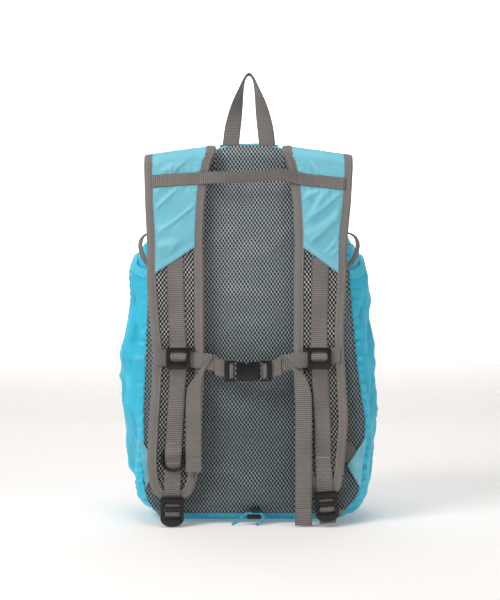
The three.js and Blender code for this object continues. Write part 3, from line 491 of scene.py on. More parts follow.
def curve_through(keys, values, at):
    """A smooth curve through table rows, without overshoot (monotone cubic)."""
    keys = np.asarray(keys, float)
    values = np.asarray(values, float)
    gaps = np.diff(keys)
    slopes = np.diff(values) / gaps
    both = slopes[:-1] + slopes[1:]
    inner = np.where(slopes[:-1] * slopes[1:] > 0,
                     2 * slopes[:-1] * slopes[1:] / np.where(both == 0, 1, both), 0)
    ends = np.concatenate([[slopes[0]], inner, [slopes[-1]]])
    at = np.clip(np.asarray(at, float), keys[0], keys[-1])
    low = np.clip(np.searchsorted(keys, at, side="right") - 1, 0, len(keys) - 2)
    t = (at - keys[low]) / gaps[low]
    return ((2 * t**3 - 3 * t**2 + 1) * values[low] + (t**3 - 2 * t**2 + t) * gaps[low] * ends[low]
            + (3 * t**2 - 2 * t**3) * values[low + 1] + (t**3 - t**2) * gaps[low] * ends[low + 1])


def ripple(points, scale, seed=0.0):
    """Smooth noise at millimetre points, about -1 to 1."""
    flat = np.asarray(points, float).reshape(-1, 3) / scale
    values = [noise.noise((x + seed, y - seed, z + 0.5 * seed)) for x, y, z in flat]
    return np.array(values).reshape(np.asarray(points).shape[:-1])


def creases(points, scale, seed=0.0, sharp=0.16):
    """Crossing sharp folds: narrow ridges where smooth noise changes sign, with soft valleys between."""
    value = ripple(points, scale, seed)
    return np.exp(-np.abs(value) / sharp) - 0.35 + 0.6 * value


# Bag outline
SIDE_ROWS = [
    # share of the half width, share of the height
    (0.995, 0.135), (1.0, 0.27), (0.985, 0.33), (0.945, 0.48), (0.917, 0.66), (0.88, 0.72), (0.8, 0.78),
]
SWELL_ROWS = [
    # share of the depth, swell at the sides, swell at the base
    (0, 0, 0), (0.1, 0.45, 0.72), (0.24, 0.82, 1), (0.5, 1, 1), (0.76, 0.82, 1), (0.9, 0.45, 0.72), (1, 0, 0),
]
BASE_STEPS, CORNER_STEPS, SIDE_STEPS, ARCH_STEPS = 3, 5, 8, 7
HALF_COUNT = BASE_STEPS + CORNER_STEPS + SIDE_STEPS + ARCH_STEPS
# Places along the rim where the base, the sides and the arch over the top end
BASE_END = BASE_STEPS
SIDE_END = BASE_STEPS + CORNER_STEPS + SIDE_STEPS - 1
ARCH_END = 2 * HALF_COUNT - SIDE_END
CLOTH_GAP = 0.01
# Shares of the depth where the zip's tape starts and ends
ZIP_LOW, ZIP_HIGH = 0.4, 0.6
ZIP_GAP = 0.002
CLOTH = 1.2
ROWS_A_STEP = 40
LEAD_STEPS, TAIL_STEPS = 6, 10


def bezier(a, b, c, d, t):
    return (1 - t)**3 * a + 3 * (1 - t)**2 * t * b + 3 * (1 - t) * t * t * c + t**3 * d


def spline(rows, t):
    place = t * (len(rows) - 1)
    low = min(int(place), len(rows) - 2)
    w = place - low
    p = [rows[max(low - 1, 0)], rows[low], rows[low + 1], rows[min(low + 2, len(rows) - 1)]]
    v0, v1 = (p[2] - p[0]) * 0.5, (p[3] - p[1]) * 0.5
    return ((2 * p[1] - 2 * p[2] + v0 + v1) * w**3 + (-3 * p[1] + 3 * p[2] - 2 * v0 - v1) * w * w + v0 * w
            + p[1])


def half_rim():
    side = [np.array((half * BACK_HALF_WIDTH, up * BODY_HEIGHT)) for half, up in SIDE_ROWS]
    low, high = side[0], side[-1]
    corner = np.array((mix(BASE_HALF_WIDTH, low[0], 0.75), SEAM_HEIGHT))
    start, turn = np.array((0.0, SEAM_HEIGHT)), np.array((float(BASE_HALF_WIDTH), SEAM_HEIGHT))
    stretches = [
        (lambda t: mix(start, turn, t), BASE_STEPS, (SEAM_HEIGHT, SEAM_HEIGHT), (1, 1)),
        (lambda t: bezier(turn, corner, np.array((low[0], mix(SEAM_HEIGHT, low[1], 0.36))), low, t),
         CORNER_STEPS,
         (SEAM_HEIGHT, SIDE_SWELL), (1, 0)),
        (lambda t: spline(side, t), SIDE_STEPS, (SIDE_SWELL, 0.75 * SIDE_SWELL), (0, 0)),
        (lambda t: bezier(high, np.array((0.93 * high[0], 0.88 * BODY_HEIGHT)),
                          np.array((0.72 * high[0], BODY_HEIGHT)), np.array((0.0, BODY_HEIGHT)), t),
                          ARCH_STEPS,
         (0.75 * SIDE_SWELL, TOP_SWELL), (0, 0)),
    ]
    rows = []
    base = 0
    for curve, steps, swell, level in stretches:
        for k in range(steps * ROWS_A_STEP):
            t = k / (steps * ROWS_A_STEP)
            rows.append((base + t * steps, *curve(t), mix(*swell, t), mix(*level, t)))
        base += steps
    rows.append((base, 0.0, BODY_HEIGHT, TOP_SWELL, 0))
    rows = np.array(rows)
    lead = rows[1:LEAD_STEPS * ROWS_A_STEP + 1][::-1] * (-1, -1, 1, 1, 1)
    tail = rows[-TAIL_STEPS * ROWS_A_STEP - 1:-1][::-1] * (-1, -1, 1, 1, 1)
    tail[:, 0] += 2 * base
    full = np.concatenate([lead, rows, tail])
    along = np.gradient(full[:, 1:3], axis=0)
    out = unit(np.stack([along[:, 1], -along[:, 0]], axis=1))
    window = np.hanning(49)
    window /= window.sum()
    for k in (0, 1):
        out[:, k] = np.convolve(np.pad(out[:, k], 24, mode="edge"), window, mode="valid")
    return np.concatenate([full, unit(out)], axis=1)


RIM = half_rim()


def rim_at(place):
    """x, z, swell, level, outward x and outward z of the rim. Places run from -33 to 33, 0 is its lowest."""
    place = np.asarray(place, float)
    here = np.abs(place)
    columns = [np.interp(here, RIM[:, 0], RIM[:, k]) for k in range(1, 7)]
    sign = np.where(place < 0, -1, 1)
    columns[0] = columns[0] * sign
    columns[4] = columns[4] * sign
    return columns


def place_at_height(height):
    rows = RIM[(RIM[:, 0] > BASE_STEPS) & (RIM[:, 0] <= HALF_COUNT)]
    return np.interp(height, rows[:, 2], rows[:, 0])


def depth_at(z):
    return mix(BASE_DEPTH, TOP_DEPTH, (z - SEAM_HEIGHT) / (BODY_HEIGHT - SEAM_HEIGHT))


def front_height(z):
    return SEAM_HEIGHT + (z - SEAM_HEIGHT) * FRONT_RISE


LEAN_ROWS = [
    # height, left, right
    (18, 1, 1), (36, 2, 4), (90, 4.5, 7), (121, 4, 9), (145, 3, 7.5),
    (190, 1, 4.7), (230, 0, 3.3), (267, 0, 1.5), (309, 0, 0),
]


BELLY_ROWS = [
    # height, left, right
    (6, -3, 0), (20, -6, -3), (38, -6, -1), (50, -11, -4), (69, -7.5, -4), (97, -5, -1),
    (126, -2.5, 4), (145, 0, 6), (164, 4, 5), (183, 7.5, 3), (202, 10, 4), (221, 9, 4),
    (250, 6, 4), (278, 5, 7), (300, 5, 6.5), (325, 5, 3), (350, 3, 3), (380, 0, 0),
]


def left_and_right(table, z):
    rows = np.array(table)
    return [curve_through(rows[:, 0], rows[:, k], z) for k in (1, 2)]


def belly_at(side, z):
    """How much further out than the plain outline the load pushes the walls at each height."""
    return np.where(side < 0, *left_and_right(BELLY_ROWS, z))


def lean_at(x, z):
    """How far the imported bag's harness side sits over to the right, low down."""
    return mix(*left_and_right(LEAN_ROWS, z), smooth(x, -90, 90))


def gusset(place, across, lift=0.0):
    """Points of the wall between the rims for arrays of places and shares of the depth."""
    x, z, swell, level, out_x, out_z = rim_at(place)
    x = x + lean_at(x, z) * (1 - smooth(across, 0, 0.2))
    keys = [row[0] for row in SWELL_ROWS]
    round_share = curve_through(keys, [row[1] for row in SWELL_ROWS], across)
    level_share = curve_through(keys, [row[2] for row in SWELL_ROWS], across)
    bulge = smooth(np.minimum(across, 1 - across), 0.02, 0.22) * np.abs(out_x) ** 0.5
    rise = swell * mix(round_share, level_share, level) + lift + belly_at(x, z) * bulge
    return np.stack([mix(1, FRONT_TAPER, across) * x + out_x * rise, -REAR_REACH + across * depth_at(z),
                     mix(z, front_height(z), across) + out_z * rise], axis=-1)


def pucker(distance, along, depth, period=11.0, reach=7.0):
    """Scallops where cloth is gathered into a seam: distance from the seam, and place along it."""
    beat = along + 2.4 * np.sin(along * 0.071) + 1.3 * np.sin(along * 0.19 + 2.0)
    wave = np.sin(2 * np.pi * beat / period) + 0.5 * np.sin(2 * np.pi * beat / (period * 0.57) + 1.3)
    lively = 0.55 + 0.7 * np.abs(np.sin(along * 0.047 + 0.9) * np.sin(along * 0.019 + 0.4))
    return -depth * lively * wave * np.exp(-distance / reach) * np.minimum(distance / 1.5, 1)


def crest_of(height):
    """How far each point of a relief stands above or below its surroundings, as 0 to 1. The shaders paint it
    as highlight on crests and shade in hollows.
    """
    around = np.asarray(height, float)
    window = np.ones(9) / 9

    def calm_row(row):
        return np.convolve(np.pad(row, 4, mode="edge"), window, "valid")

    for axis in (0, 1, 0, 1):
        if around.ndim > axis and around.shape[axis] > len(window):
            around = np.apply_along_axis(calm_row, axis, around)
    height = height - around
    spread = np.percentile(np.abs(height), 97) + 1e-6
    return np.clip(0.5 + 0.5 * height / spread, 0, 1)


def cloth_wall(name, places, across, relief, material, thickness=CLOTH):
    """A cloth panel over part of the bag's wall, with its relief added along its normals."""
    place, share = np.meshgrid(places, across, indexing="ij")
    base = gusset(place, share)
    normal = grid_normals(base)
    out_x, out_z = rim_at(place)[4:]
    normal = normal * np.sign((normal[..., 0] * out_x + normal[..., 2] * out_z).mean())
    height = relief(base, place, share)
    outer = base + normal * height[..., None]
    return cloth_piece(name, outer, outer - normal * thickness, material, grid_uv(base),
                       crest=crest_of(height))


def settle(made, slot, *nodes):
    """Rides on the bag and stands for its CAD nodes, which it hides; the slot argument is not used."""
    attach(made, "root")
    if nodes:
        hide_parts(*nodes)
    return made


# Bag body
def side_relief(side):
    def relief(base, place, share):
        edge = np.minimum(share, 1 - share) * 110
        run = base[..., 2]
        tall = ripple(base * (1.0, 1.0, 0.28), 16.0, 3.1 + side)
        broad = ripple(base * (1.0, 1.0, 0.55), 46.0, 7.7 + side)
        slant = ripple(np.stack([base[..., 1] + 0.7 * base[..., 2], base[..., 0], 0.25 * base[..., 2]], -1),
                       21.0, side)
        calm = smooth(edge, 0, 14)
        fold = creases(base * (0.8, 1.0, 0.4), 34.0, 5.5 + side, 0.1)
        rounding = 4.5 * np.exp(-((run - 338) / 24) ** 2)
        soft = (2.2 * tall + 4.0 * broad + 2.2 * slant + 2.4 * fold - 1.6) * smooth(run, 318, 336)
        gathers = pucker(edge, run, 2.2, 13.0, 5.5)
        return calm * (soft + rounding) + gathers - 0.4 - 0.8 * smooth(-run, -330, -315)
    return relief


def base_relief(base, place, share):
    edge = np.minimum(share, 1 - share) * 150
    raised = smooth(base[..., 2], 0.2, 5)
    calm = smooth(edge, 0, 18) * raised
    return calm * 1.2 * ripple(base, 24.0, 5.0) + pucker(edge, base[..., 0], 0.5) * raised


def build_walls():
    fine = np.concatenate([np.linspace(0, 0.06, 7), np.linspace(0.08, 0.92, 40), np.linspace(0.94, 1, 7)])
    reach = BASE_END - CLOTH_GAP
    made = cloth_wall("base_cloth", np.linspace(-reach, reach, 90), fine, base_relief, nylon)
    settle(made, "nylon_blue", "base_panel")
    for name, sign in SIDES:
        places = np.linspace(BASE_END + CLOTH_GAP, SIDE_END - CLOTH_GAP, 250) * sign
        made = cloth_wall(f"side_cloth_{name}", places, fine, side_relief(sign), nylon)
        settle(made, "nylon_blue", f"side_panel_{name}")
    arch = np.linspace(SIDE_END + CLOTH_GAP, ARCH_END - CLOTH_GAP, 210)

    def top_relief(base, place, share):
        edge = np.minimum(np.abs(share), np.abs(1 - share)) * 95
        zip_edge = np.minimum(np.abs(share - ZIP_LOW), np.abs(share - ZIP_HIGH)) * 95
        calm = smooth(np.minimum(edge, zip_edge), 0, 10)
        run = base[..., 0] + 0.6 * base[..., 2]
        soft = 1.0 * ripple(base, 17.0, 2.0) + 1.4 * ripple(base, 44.0, 4.0)
        crown = 1.6 * smooth(edge, 0, 8) * smooth(base[..., 2], 440, 458)
        return calm * soft + pucker(edge, run, 0.6) + pucker(zip_edge, run, 0.35, 9.0, 9.0) - 0.6 + crown

    for name, low, high in (("rear", 0, ZIP_LOW - ZIP_GAP), ("front", ZIP_HIGH + ZIP_GAP, 1)):
        made = cloth_wall(f"top_cloth_{name}", arch, np.linspace(low, high, 34), top_relief, nylon)
        settle(made, "nylon_blue", f"top_panel_{name}")


def arch_line(share, lift):
    place = np.linspace(SIDE_END + 0.05, ARCH_END - 0.05, 400)
    return gusset(place, np.full_like(place, share), lift)


def build_zip():
    """The coil zip over the arch: tape, one row of coil teeth down its middle and the topstitching beside it.
    """
    share = np.linspace(ZIP_LOW + ZIP_GAP, ZIP_HIGH - ZIP_GAP, 25)
    places = np.linspace(SIDE_END + CLOTH_GAP, ARCH_END - CLOTH_GAP, 260)

    def relief(base, place, across):
        return 0.9 * np.exp(-((across - 0.5) * 92 / 2.6) ** 2)

    made = cloth_wall("zip_tape", places, share, relief, zip_cloth, 1.0)
    settle(made, "zip_black", "main_zip")
    teeth = coil_teeth("zip_coil", arch_line(0.5, 1.25), 1.5, 4.6)
    settle(teeth, "zip_black")
    stitches = []
    for across, lift in ((0.385, 0.9), (0.372, 0.8), (0.615, 0.9), (0.628, 0.8)):
        line = arch_line(across, lift)
        stitches += along_line(line, 3.2, np.broadcast_to((0.0, 0.0, 1.0), line.shape))
    settle(sew("zip_topstitch", stitches, thread_cyan), "nylon_blue")


def ring_face(name, rim_places, ring_share, surface, material):
    """A lid inside the rim: rings that shrink to a middle point. surface gives points and relief."""
    place, share = np.meshgrid(rim_places, ring_share, indexing="ij")
    outer, inner, crest = surface(place, share)
    rows, columns = outer.shape[:2]
    points = np.concatenate([outer.reshape(-1, 3), inner.reshape(-1, 3)])
    under = rows * columns
    faces = []
    for i in range(rows):
        k = (i + 1) % rows
        for j in range(columns - 1):
            a, b, c, d = i * columns + j, i * columns + j + 1, k * columns + j + 1, k * columns + j
            faces.append([a, b, c, d])
            faces.append([under + a, under + d, under + c, under + b])
        faces.append([i * columns, k * columns, under + k * columns, under + i * columns])
    middle = [outer[:, -1].mean(axis=0), inner[:, -1].mean(axis=0)]
    points = np.concatenate([points, middle])
    for i in range(rows):
        k = (i + 1) % rows
        a, d = i * columns + columns - 1, k * columns + columns - 1
        faces.append([a, len(points) - 2, d])
        faces.append([under + a, under + d, len(points) - 1])
    uv = points[:, (0, 2)] * MM
    crest = np.concatenate([crest.ravel(), crest.ravel(), [0.5, 0.5]])
    return piece(name, points, outward(points, faces), material, uv, crest=crest)


def build_back():
    """The padded back panel: foam under spacer mesh, thin at its rim."""
    def surface(place, share):
        x, z = rim_at(place)[:2]
        at_x = x * share
        at_z = mix(0.5 * BODY_HEIGHT, z, share)
        inside = (1 - share) * np.hypot(x, z - 0.5 * BODY_HEIGHT)
        at_z = at_z - 5.5 * smooth(-at_z, -52, -20) + 1.0 * smooth(at_z, 430, 458)
        rise = BACK_PAD_RIM + (BACK_PAD - BACK_PAD_RIM) * smooth(inside, 0, 13)
        at_x = at_x + lean_at(at_x, at_z)
        flat = np.stack([at_x, 0 * at_x, at_z], -1)
        relief = 0.5 * ripple(flat, 60.0, 1.0) + 0.35 * ripple(flat, 24.0, 9.0)
        run = at_x + at_z
        relief = relief * smooth(inside, 0, 25) + 0.5 * pucker(inside, run, 0.8, 10.0, 7.0)
        outer = np.stack([at_x, -REAR_REACH - SEAM_GAP - rise - relief, at_z], -1)
        inner = np.stack([at_x, 0 * at_x - REAR_REACH - SEAM_GAP, at_z], -1)
        return outer, inner, crest_of(relief)

    places = np.linspace(-HALF_COUNT, HALF_COUNT, 421)[:-1]
    shares = np.concatenate([np.linspace(1, 0.9, 12), np.linspace(0.88, 0.02, 48)])
    made = ring_face("back_pad", places, shares, surface, back_mesh)
    settle(made, "spacer_mesh", "back_panel")


def build_front():
    """The plain outer face of the bag: slack cloth that bulges over the load."""
    def surface(place, share):
        x, z = rim_at(place)[:2]
        mid = 0.45 * BODY_HEIGHT
        at_z = mix(mid, z, share)
        bulge = FRONT_BULGE * (1 - share ** 2.4)
        at_x = x * share * FRONT_TAPER
        flat = np.stack([at_x, 0 * at_x, at_z], -1)
        inside = (1 - share) * np.hypot(x, z - mid)
        calm = smooth(inside, 0, 22)
        slant = ripple(np.stack([at_x + 0.6 * at_z, 0 * at_x, 0.3 * at_z - 0.2 * at_x], -1), 30.0, 6.0)
        soft = 2.2 * ripple(flat, 70.0, 11.0) + 1.3 * slant + 0.8 * ripple(flat * (1, 1, 0.4), 19.0, 8.0)
        relief = calm * soft + pucker(inside, at_x + at_z, 0.9, 11.0, 12.0) - 1.0 * calm
        y = depth_at(at_z) - REAR_REACH + bulge + SEAM_GAP
        outer = np.stack([at_x, y + 2.0 + relief, front_height(at_z)], -1)
        inner = outer - (0, CLOTH, 0)
        return outer, inner, crest_of(relief)

    places = np.linspace(-HALF_COUNT, HALF_COUNT, 361)[:-1]
    shares = np.concatenate([np.linspace(1, 0.92, 9), np.linspace(0.9, 0.02, 46)])
    settle(ring_face("front_cloth", places, shares, surface, nylon), "nylon_blue", "front_panel")


def pocket_mouth(share):
    heights = mix(POCKET_MOUTH_REAR, POCKET_MOUTH_FRONT, smooth(share, 0, 0.6))
    return place_at_height(heights)


def seam_in(share):
    """0 in the seams at the pocket's two sides and 1 between them."""
    return smooth(np.minimum(share, 1 - share), 0, 0.035)


def pocket_lift(share, up):
    drawn_in = np.sqrt(1 - 0.985 * np.clip((up - 0.86) / 0.14, 0, 1) ** 2)
    swell = (POCKET_SWELL + CLOTH) * smooth(up, -0.1, 0.45) * np.sin(np.pi * np.clip(share, 0, 1)) ** 0.7
    return 2.3 * seam_in(share) * mix(0.75, 1, drawn_in) + swell * mix(0.8, 1, smooth(up, 0, 0.3)) * drawn_in


def build_pockets():
    """Side pockets with their folded hems, and the webbing loops above them."""
    start = BASE_STEPS + 1.05
    share_row = np.concatenate([np.linspace(0.002, 0.08, 9), np.linspace(0.1, 0.9, 40),
                                np.linspace(0.92, 0.998, 9)])
    up_row = np.linspace(0, 1, 190)
    up, share = np.meshgrid(up_row, share_row, indexing="ij")
    for name, sign in SIDES:
        place = mix(start, pocket_mouth(share), up) * sign
        base = gusset(place, share, pocket_lift(share, up))
        normal = grid_normals(base)
        normal *= np.sign((normal[..., 0] * sign).mean())
        edge = np.minimum(share, 1 - share) * 115
        mouth = (1 - up) * 290
        tall = ripple(base * (1.0, 1.0, 0.3), 15.0, 13.1 + sign)
        broad = ripple(base * (1.0, 1.0, 0.6), 42.0, 17.7 - sign)
        slant = ripple(np.stack([base[..., 1] - 0.8 * base[..., 2], base[..., 0], 0.22 * base[..., 2]], -1),
                       18.0, 1.5)
        calm = smooth(edge, 0, 14) * smooth(mouth, 3, 30)
        fold = creases(base * (0.8, 1.0, 0.35), 30.0, 1.5 + sign, 0.12)
        soft = 2.3 * tall + 4.6 * broad + 3.0 * slant + 3.2 * fold
        height = calm * (soft - 3.0) + pucker(edge, base[..., 2], 2.5, 13.0, 5.5)
        height -= 0.5 * smooth(mouth, 16, 10) * (1 - smooth(mouth, 10, 4))
        outer = base + normal * height[..., None]
        made = cloth_piece(f"pocket_cloth_{name}", outer, outer - normal, nylon, grid_uv(base),
                           crest=crest_of(height))
        settle(made, "nylon_blue", f"side_pocket_{name}")
        build_pocket_hem(name, sign, start, share_row)
        build_side_loop(name, sign)


def build_pocket_hem(name, sign, start, share_row):
    rows = np.linspace(1 - POCKET_HEM / 300, 1.003, 13)
    up, share = np.meshgrid(rows, share_row, indexing="ij")
    place = mix(start, pocket_mouth(share), up) * sign
    base = gusset(place, share, pocket_lift(share, np.minimum(up, 1)))
    normal = grid_normals(base)
    normal *= np.sign((normal[..., 0] * sign).mean())
    turn = np.linspace(0, 1, len(rows))[:, None]
    arc = np.sin(np.pi * turn)
    puff = 0.9 * arc ** 0.5 + 0.35 * np.sin(base[..., 1] * 1.1 + 3 * turn) * arc
    outer = base + normal * (0.3 + puff)[..., None]
    # painted highlight: the puffed hem is given a high crest, which the cloth shader paints paler
    crest = np.clip(0.45 + 0.5 * puff, 0, 1)
    made = cloth_piece(f"pocket_hem_cloth_{name}", outer, base - normal * 0.9, nylon, grid_uv(base),
                       crest=crest)
    settle(made, "nylon_blue", f"pocket_hem_{name}")
    stitches = []
    for row in (2, 9):
        line = outer[row] + normal[row] * 0.1
        stitches += along_line(line, 2.6, normal[row])
    settle(sew(f"pocket_hem_stitch_{name}", stitches, thread_cyan), "nylon_blue")


LOOP_ROWS = [
    # x, height, width seen
    (108, 355, 2.6), (122, 353, 2.8), (129, 348.5, 3.6), (132, 340, 5.2),
    (130.5, 331, 6.6), (126.5, 321, 8.6), (121, 313, 9.6), (112, 307, 9.6),
]


def build_side_loop(name, sign):
    y = -REAR_REACH - SEAM_GAP - BACK_PAD - LAYER - LOOP_WIDTH / 2
    rows = [((sign * x, y, z), (sign * wide, LOOP_WIDTH - 0.5 * wide, 0.35 * wide))
            for x, z, wide in LOOP_ROWS]
    made, _ = ribbon(f"side_loop_web_{name}", rows, WEB_THICKNESS, webbing, 8, 1.2)
    settle(made, "webbing_gray", f"side_loop_{name}")


# Bands of webbing
def soften(rows, reach, count=6):
    """Rounds the corners of a row of numbers, cutting each at most reach back along its legs."""
    rows = np.asarray(rows, float)
    made = [rows[0]]
    for before, here, after in zip(rows, rows[1:], rows[2:]):
        first = min(reach, 0.5 * np.linalg.norm((here - before)[:3]))
        second = min(reach, 0.5 * np.linalg.norm((after - here)[:3]))
        start = here + (before - here) * first / max(np.linalg.norm((before - here)[:3]), 1e-6)
        end = here + (after - here) * second / max(np.linalg.norm((after - here)[:3]), 1e-6)
        for t in np.linspace(0, 1, count):
            made.append((1 - t) ** 2 * start + 2 * (1 - t) * t * here + t * t * end)
    made.append(rows[-1])
    return np.array(made)


def even(rows, step):
    """Places rows at even distances along their first three columns."""
    gap = np.linalg.norm(np.diff(rows[:, :3], axis=0), axis=1)
    keep = np.concatenate([[True], gap > 1e-5])
    rows = rows[keep]
    length = run_of(rows[:, :3])
    count = max(int(round(length[-1] / step)), 3)
    at = np.linspace(0, length[-1], count + 1)
    return np.stack([np.interp(at, length, rows[:, k]) for k in range(rows.shape[1])], axis=1), at


class Track:
    """The line of a finished band: places on it by distance along, share across and height off its face."""

    def __init__(self, middle, across, normal, length):
        self.middle, self.across, self.normal, self.length = middle, across, normal, length

    def at(self, far, share, off):
        middle, across, normal = (pick_at(far, self.length, rows)
                                  for rows in (self.middle, self.across, self.normal))
        return middle + across * share + normal * off

    def up(self, far):
        return pick_at(far, self.length, self.normal)


def ribbon(name, rows, thickness, material, reach=6.0, step=2.5, wave=0.12, cup=0.0, seed=1.0, columns=9):
    """A woven band through rows of (middle, across). It has rolled selvedges and a slight waver."""
    table = np.array([(*middle, *across) for middle, across in rows], float)
    table, length = even(soften(table, reach), step)
    middle, across = table[:, :3], table[:, 3:]
    tangent = np.gradient(middle, axis=0)
    normal = unit(np.cross(tangent, across))
    if normal[0, 1] > 0:
        normal = -normal
    width = np.linalg.norm(across, axis=1, keepdims=True)
    sideways = across / np.maximum(width, 1e-6)
    half = thickness / 2
    shares = np.linspace(-1, 1, columns)
    profile = [(share, 1.0) for share in shares] + [(1.0, 0.0)]
    profile += [(share, -1.0) for share in shares[::-1]] + [(-1.0, 0.0)]
    waver = ripple(middle, 18.0, seed) * wave
    rings = []
    uv = []
    edge = []
    for share, side in profile:
        inset = 0.55 * half if side else 0.0
        across_at = sideways * (share * (width / 2 - inset))
        lip = 0.72 if side and abs(share) == 1 else 1.0
        lift = side * half * lip + waver + cup * (share * share - 0.4)
        rings.append(middle + across_at + normal * np.broadcast_to(lift, waver.shape)[:, None])
        uv.append(np.stack([np.full(len(middle), share / 2) * width[:, 0] * MM, length * MM], 1))
        edge.append(np.full(len(middle), abs(share)))
    grid = np.stack(rings, 1)
    count, around = grid.shape[:2]
    points = grid.reshape(-1, 3)
    faces = tube_faces(count, around)
    for end in (0, (count - 1) * around):
        low = [end + j for j in range(columns)]
        high = [end + 2 * columns - j for j in range(columns)]
        cap = [[low[j], low[j + 1], high[j + 1], high[j]] for j in range(columns - 1)]
        cap += [[end + columns - 1, end + columns, end + columns + 1],
                [end + 2 * columns, end + 2 * columns + 1, end]]
        faces += [face[::-1] for face in cap] if end == 0 else cap
    faces = outward(points, faces)
    made = piece(name, points, faces, material, np.stack(uv, 1).reshape(-1, 2),
                 edge=np.stack(edge, 1).ravel())
    return made, Track(middle, across, normal, length)


# Stitching
def node_tree(name, result, **given):
    """An empty geometry tree, a function that adds a node to it, and the sockets of what it is given."""
    tree = bpy.data.node_groups.new(name, "GeometryNodeTree")
    for label, kind in given.items():
        tree.interface.new_socket(label, in_out="INPUT", socket_type=f"NodeSocket{kind}")
    tree.interface.new_socket(result, in_out="OUTPUT", socket_type="NodeSocketGeometry")

    def add(kind, inputs=None, **settings):
        made = tree.nodes.new(kind)
        for key, value in settings.items():
            setattr(made, key, value)
        for key, value in (inputs or {}).items():
            if isinstance(value, bpy.types.NodeSocket):
                tree.links.new(value, made.inputs[key])
            else:
                made.inputs[key].default_value = value
        return made.outputs

    return tree, add, add("NodeGroupInput")


def stitch_tree():
    """Each edge of the given mesh becomes one stitch of thread that bows away from the cloth."""
    tree, add, given = node_tree("stitches", "Stitches", Edges="Geometry", Radius="Float", Bow="Float",
                                 Thread="Material")
    lines = add("GeometryNodeMeshToCurve", {"Mesh": given["Edges"]})
    spaced = add("GeometryNodeResampleCurve", {"Curve": lines["Curve"], "Count": 5})
    along = add("GeometryNodeSplineParameter")
    half_turn = add("ShaderNodeMath", {0: along["Factor"], 1: math.pi}, operation="MULTIPLY")
    swell = add("ShaderNodeMath", {0: half_turn[0]}, operation="SINE")
    lift = add("GeometryNodeInputNamedAttribute", {"Name": "lift"}, data_type="FLOAT_VECTOR")
    bow = add("ShaderNodeMath", {0: swell[0], 1: given["Bow"]}, operation="MULTIPLY")
    offset = add("ShaderNodeVectorMath", {0: lift["Attribute"], "Scale": bow[0]}, operation="SCALE")
    moved = add("GeometryNodeSetPosition", {"Geometry": spaced["Curve"], "Offset": offset[0]})
    thick = add("ShaderNodeMapRange", {"Value": swell[0], "To Min": 0.55, "To Max": 1.0})
    sized = add("GeometryNodeSetCurveRadius", {"Curve": moved["Geometry"], "Radius": thick["Result"]})
    ring = add("GeometryNodeCurvePrimitiveCircle", {"Resolution": 6, "Radius": given["Radius"]})
    tube = add("GeometryNodeCurveToMesh",
               {"Curve": sized["Curve"], "Profile Curve": ring["Curve"], "Fill Caps": True})
    whole = add("GeometryNodeRealizeInstances", {"Geometry": tube["Mesh"]})
    finish = add("GeometryNodeSetMaterial", {"Geometry": whole["Geometry"], "Material": given["Thread"]})
    add("NodeGroupOutput", {"Stitches": finish["Geometry"]})
    return tree


def coil_tree():
    """Teeth set across a line at an even pitch."""
    tree, add, given = node_tree("coil", "Teeth", Line="Geometry", Pitch="Float", Width="Float",
                                 Finish="Material")
    line = add("GeometryNodeMeshToCurve", {"Mesh": given["Line"]})
    points = add("GeometryNodeCurveToPoints", {"Curve": line["Curve"], "Length": given["Pitch"]},
                 mode="LENGTH")
    tooth = add("GeometryNodeMeshCylinder", {"Vertices": 8, "Radius": 0.36, "Depth": 1.0})
    size = add("ShaderNodeCombineXYZ", {0: given["Pitch"], 1: given["Pitch"], 2: given["Width"]})
    turned = add("FunctionNodeAlignRotationToVector", {"Vector": (0, 1, 0)}, axis="Z")
    spread = add("GeometryNodeInstanceOnPoints", {"Points": points["Points"], "Instance": tooth["Mesh"],
                                                  "Rotation": turned["Rotation"], "Scale": size[0]})
    whole = add("GeometryNodeRealizeInstances", {"Geometry": spread["Instances"]})
    finish = add("GeometryNodeSetMaterial", {"Geometry": whole["Geometry"], "Material": given["Finish"]})
    add("NodeGroupOutput", {"Teeth": finish["Geometry"]})
    return tree


def grow(name, carrier, tree, material, **sizes):
    """Runs a tree on a carrier mesh and keeps the plain mesh that it makes."""
    holder = put_in_scene(f"{name}_carrier", carrier)
    modifier = holder.modifiers.new("grow", "NODES")
    modifier.node_group = tree
    for socket in tree.interface.items_tree:
        if socket.in_out == "INPUT" and socket.name in sizes:
            modifier[socket.identifier] = sizes[socket.name]
        if socket.in_out == "INPUT" and socket.socket_type == "NodeSocketMaterial":
            modifier[socket.identifier] = material
    graph = bpy.context.evaluated_depsgraph_get()
    mesh = bpy.data.meshes.new_from_object(holder.evaluated_get(graph), depsgraph=graph)
    mesh.name = name
    bpy.data.objects.remove(holder)
    bpy.data.meshes.remove(carrier)
    if not mesh.materials:
        mesh.materials.append(material)
    mesh.shade_smooth()
    return put_in_scene(name, mesh)


def sew(name, segments, thread, radius=0.28, bow=0.25):
    """Sews stitches, each given as its two ends and the way it bows, in millimetres."""
    points = []
    lifts = []
    for start, end, up in segments:
        points += [start, end]
        lifts += [up, up]
    carrier = bpy.data.meshes.new(f"{name}_edges")
    carrier.from_pydata((np.array(points) * MM).tolist(),
                        [(2 * k, 2 * k + 1) for k in range(len(segments))], [])
    field = carrier.attributes.new("lift", "FLOAT_VECTOR", "POINT")
    field.data.foreach_set("vector", np.asarray(lifts, np.float32).ravel())
    return grow(name, carrier, STITCHES, thread, Radius=radius * MM, Bow=bow * MM)


def coil_teeth(name, line, pitch, width):
    carrier = bpy.data.meshes.new(f"{name}_line")
    carrier.from_pydata((line * MM).tolist(), [(k, k + 1) for k in range(len(line) - 1)], [])
    return grow(name, carrier, COIL, zip_nylon, Pitch=pitch * MM, Width=width * MM)


def along_line(line, pitch, ups, fill=0.68, skip=0.0):
    """Running stitches along a line of points."""
    length = run_of(line)
    made = []
    far = skip
    while far + pitch * fill < length[-1] - skip:
        made.append((pick_at(far, length, line), pick_at(far + pitch * fill, length, line),
                     pick_at(far, length, ups)))
        far += pitch
    return made


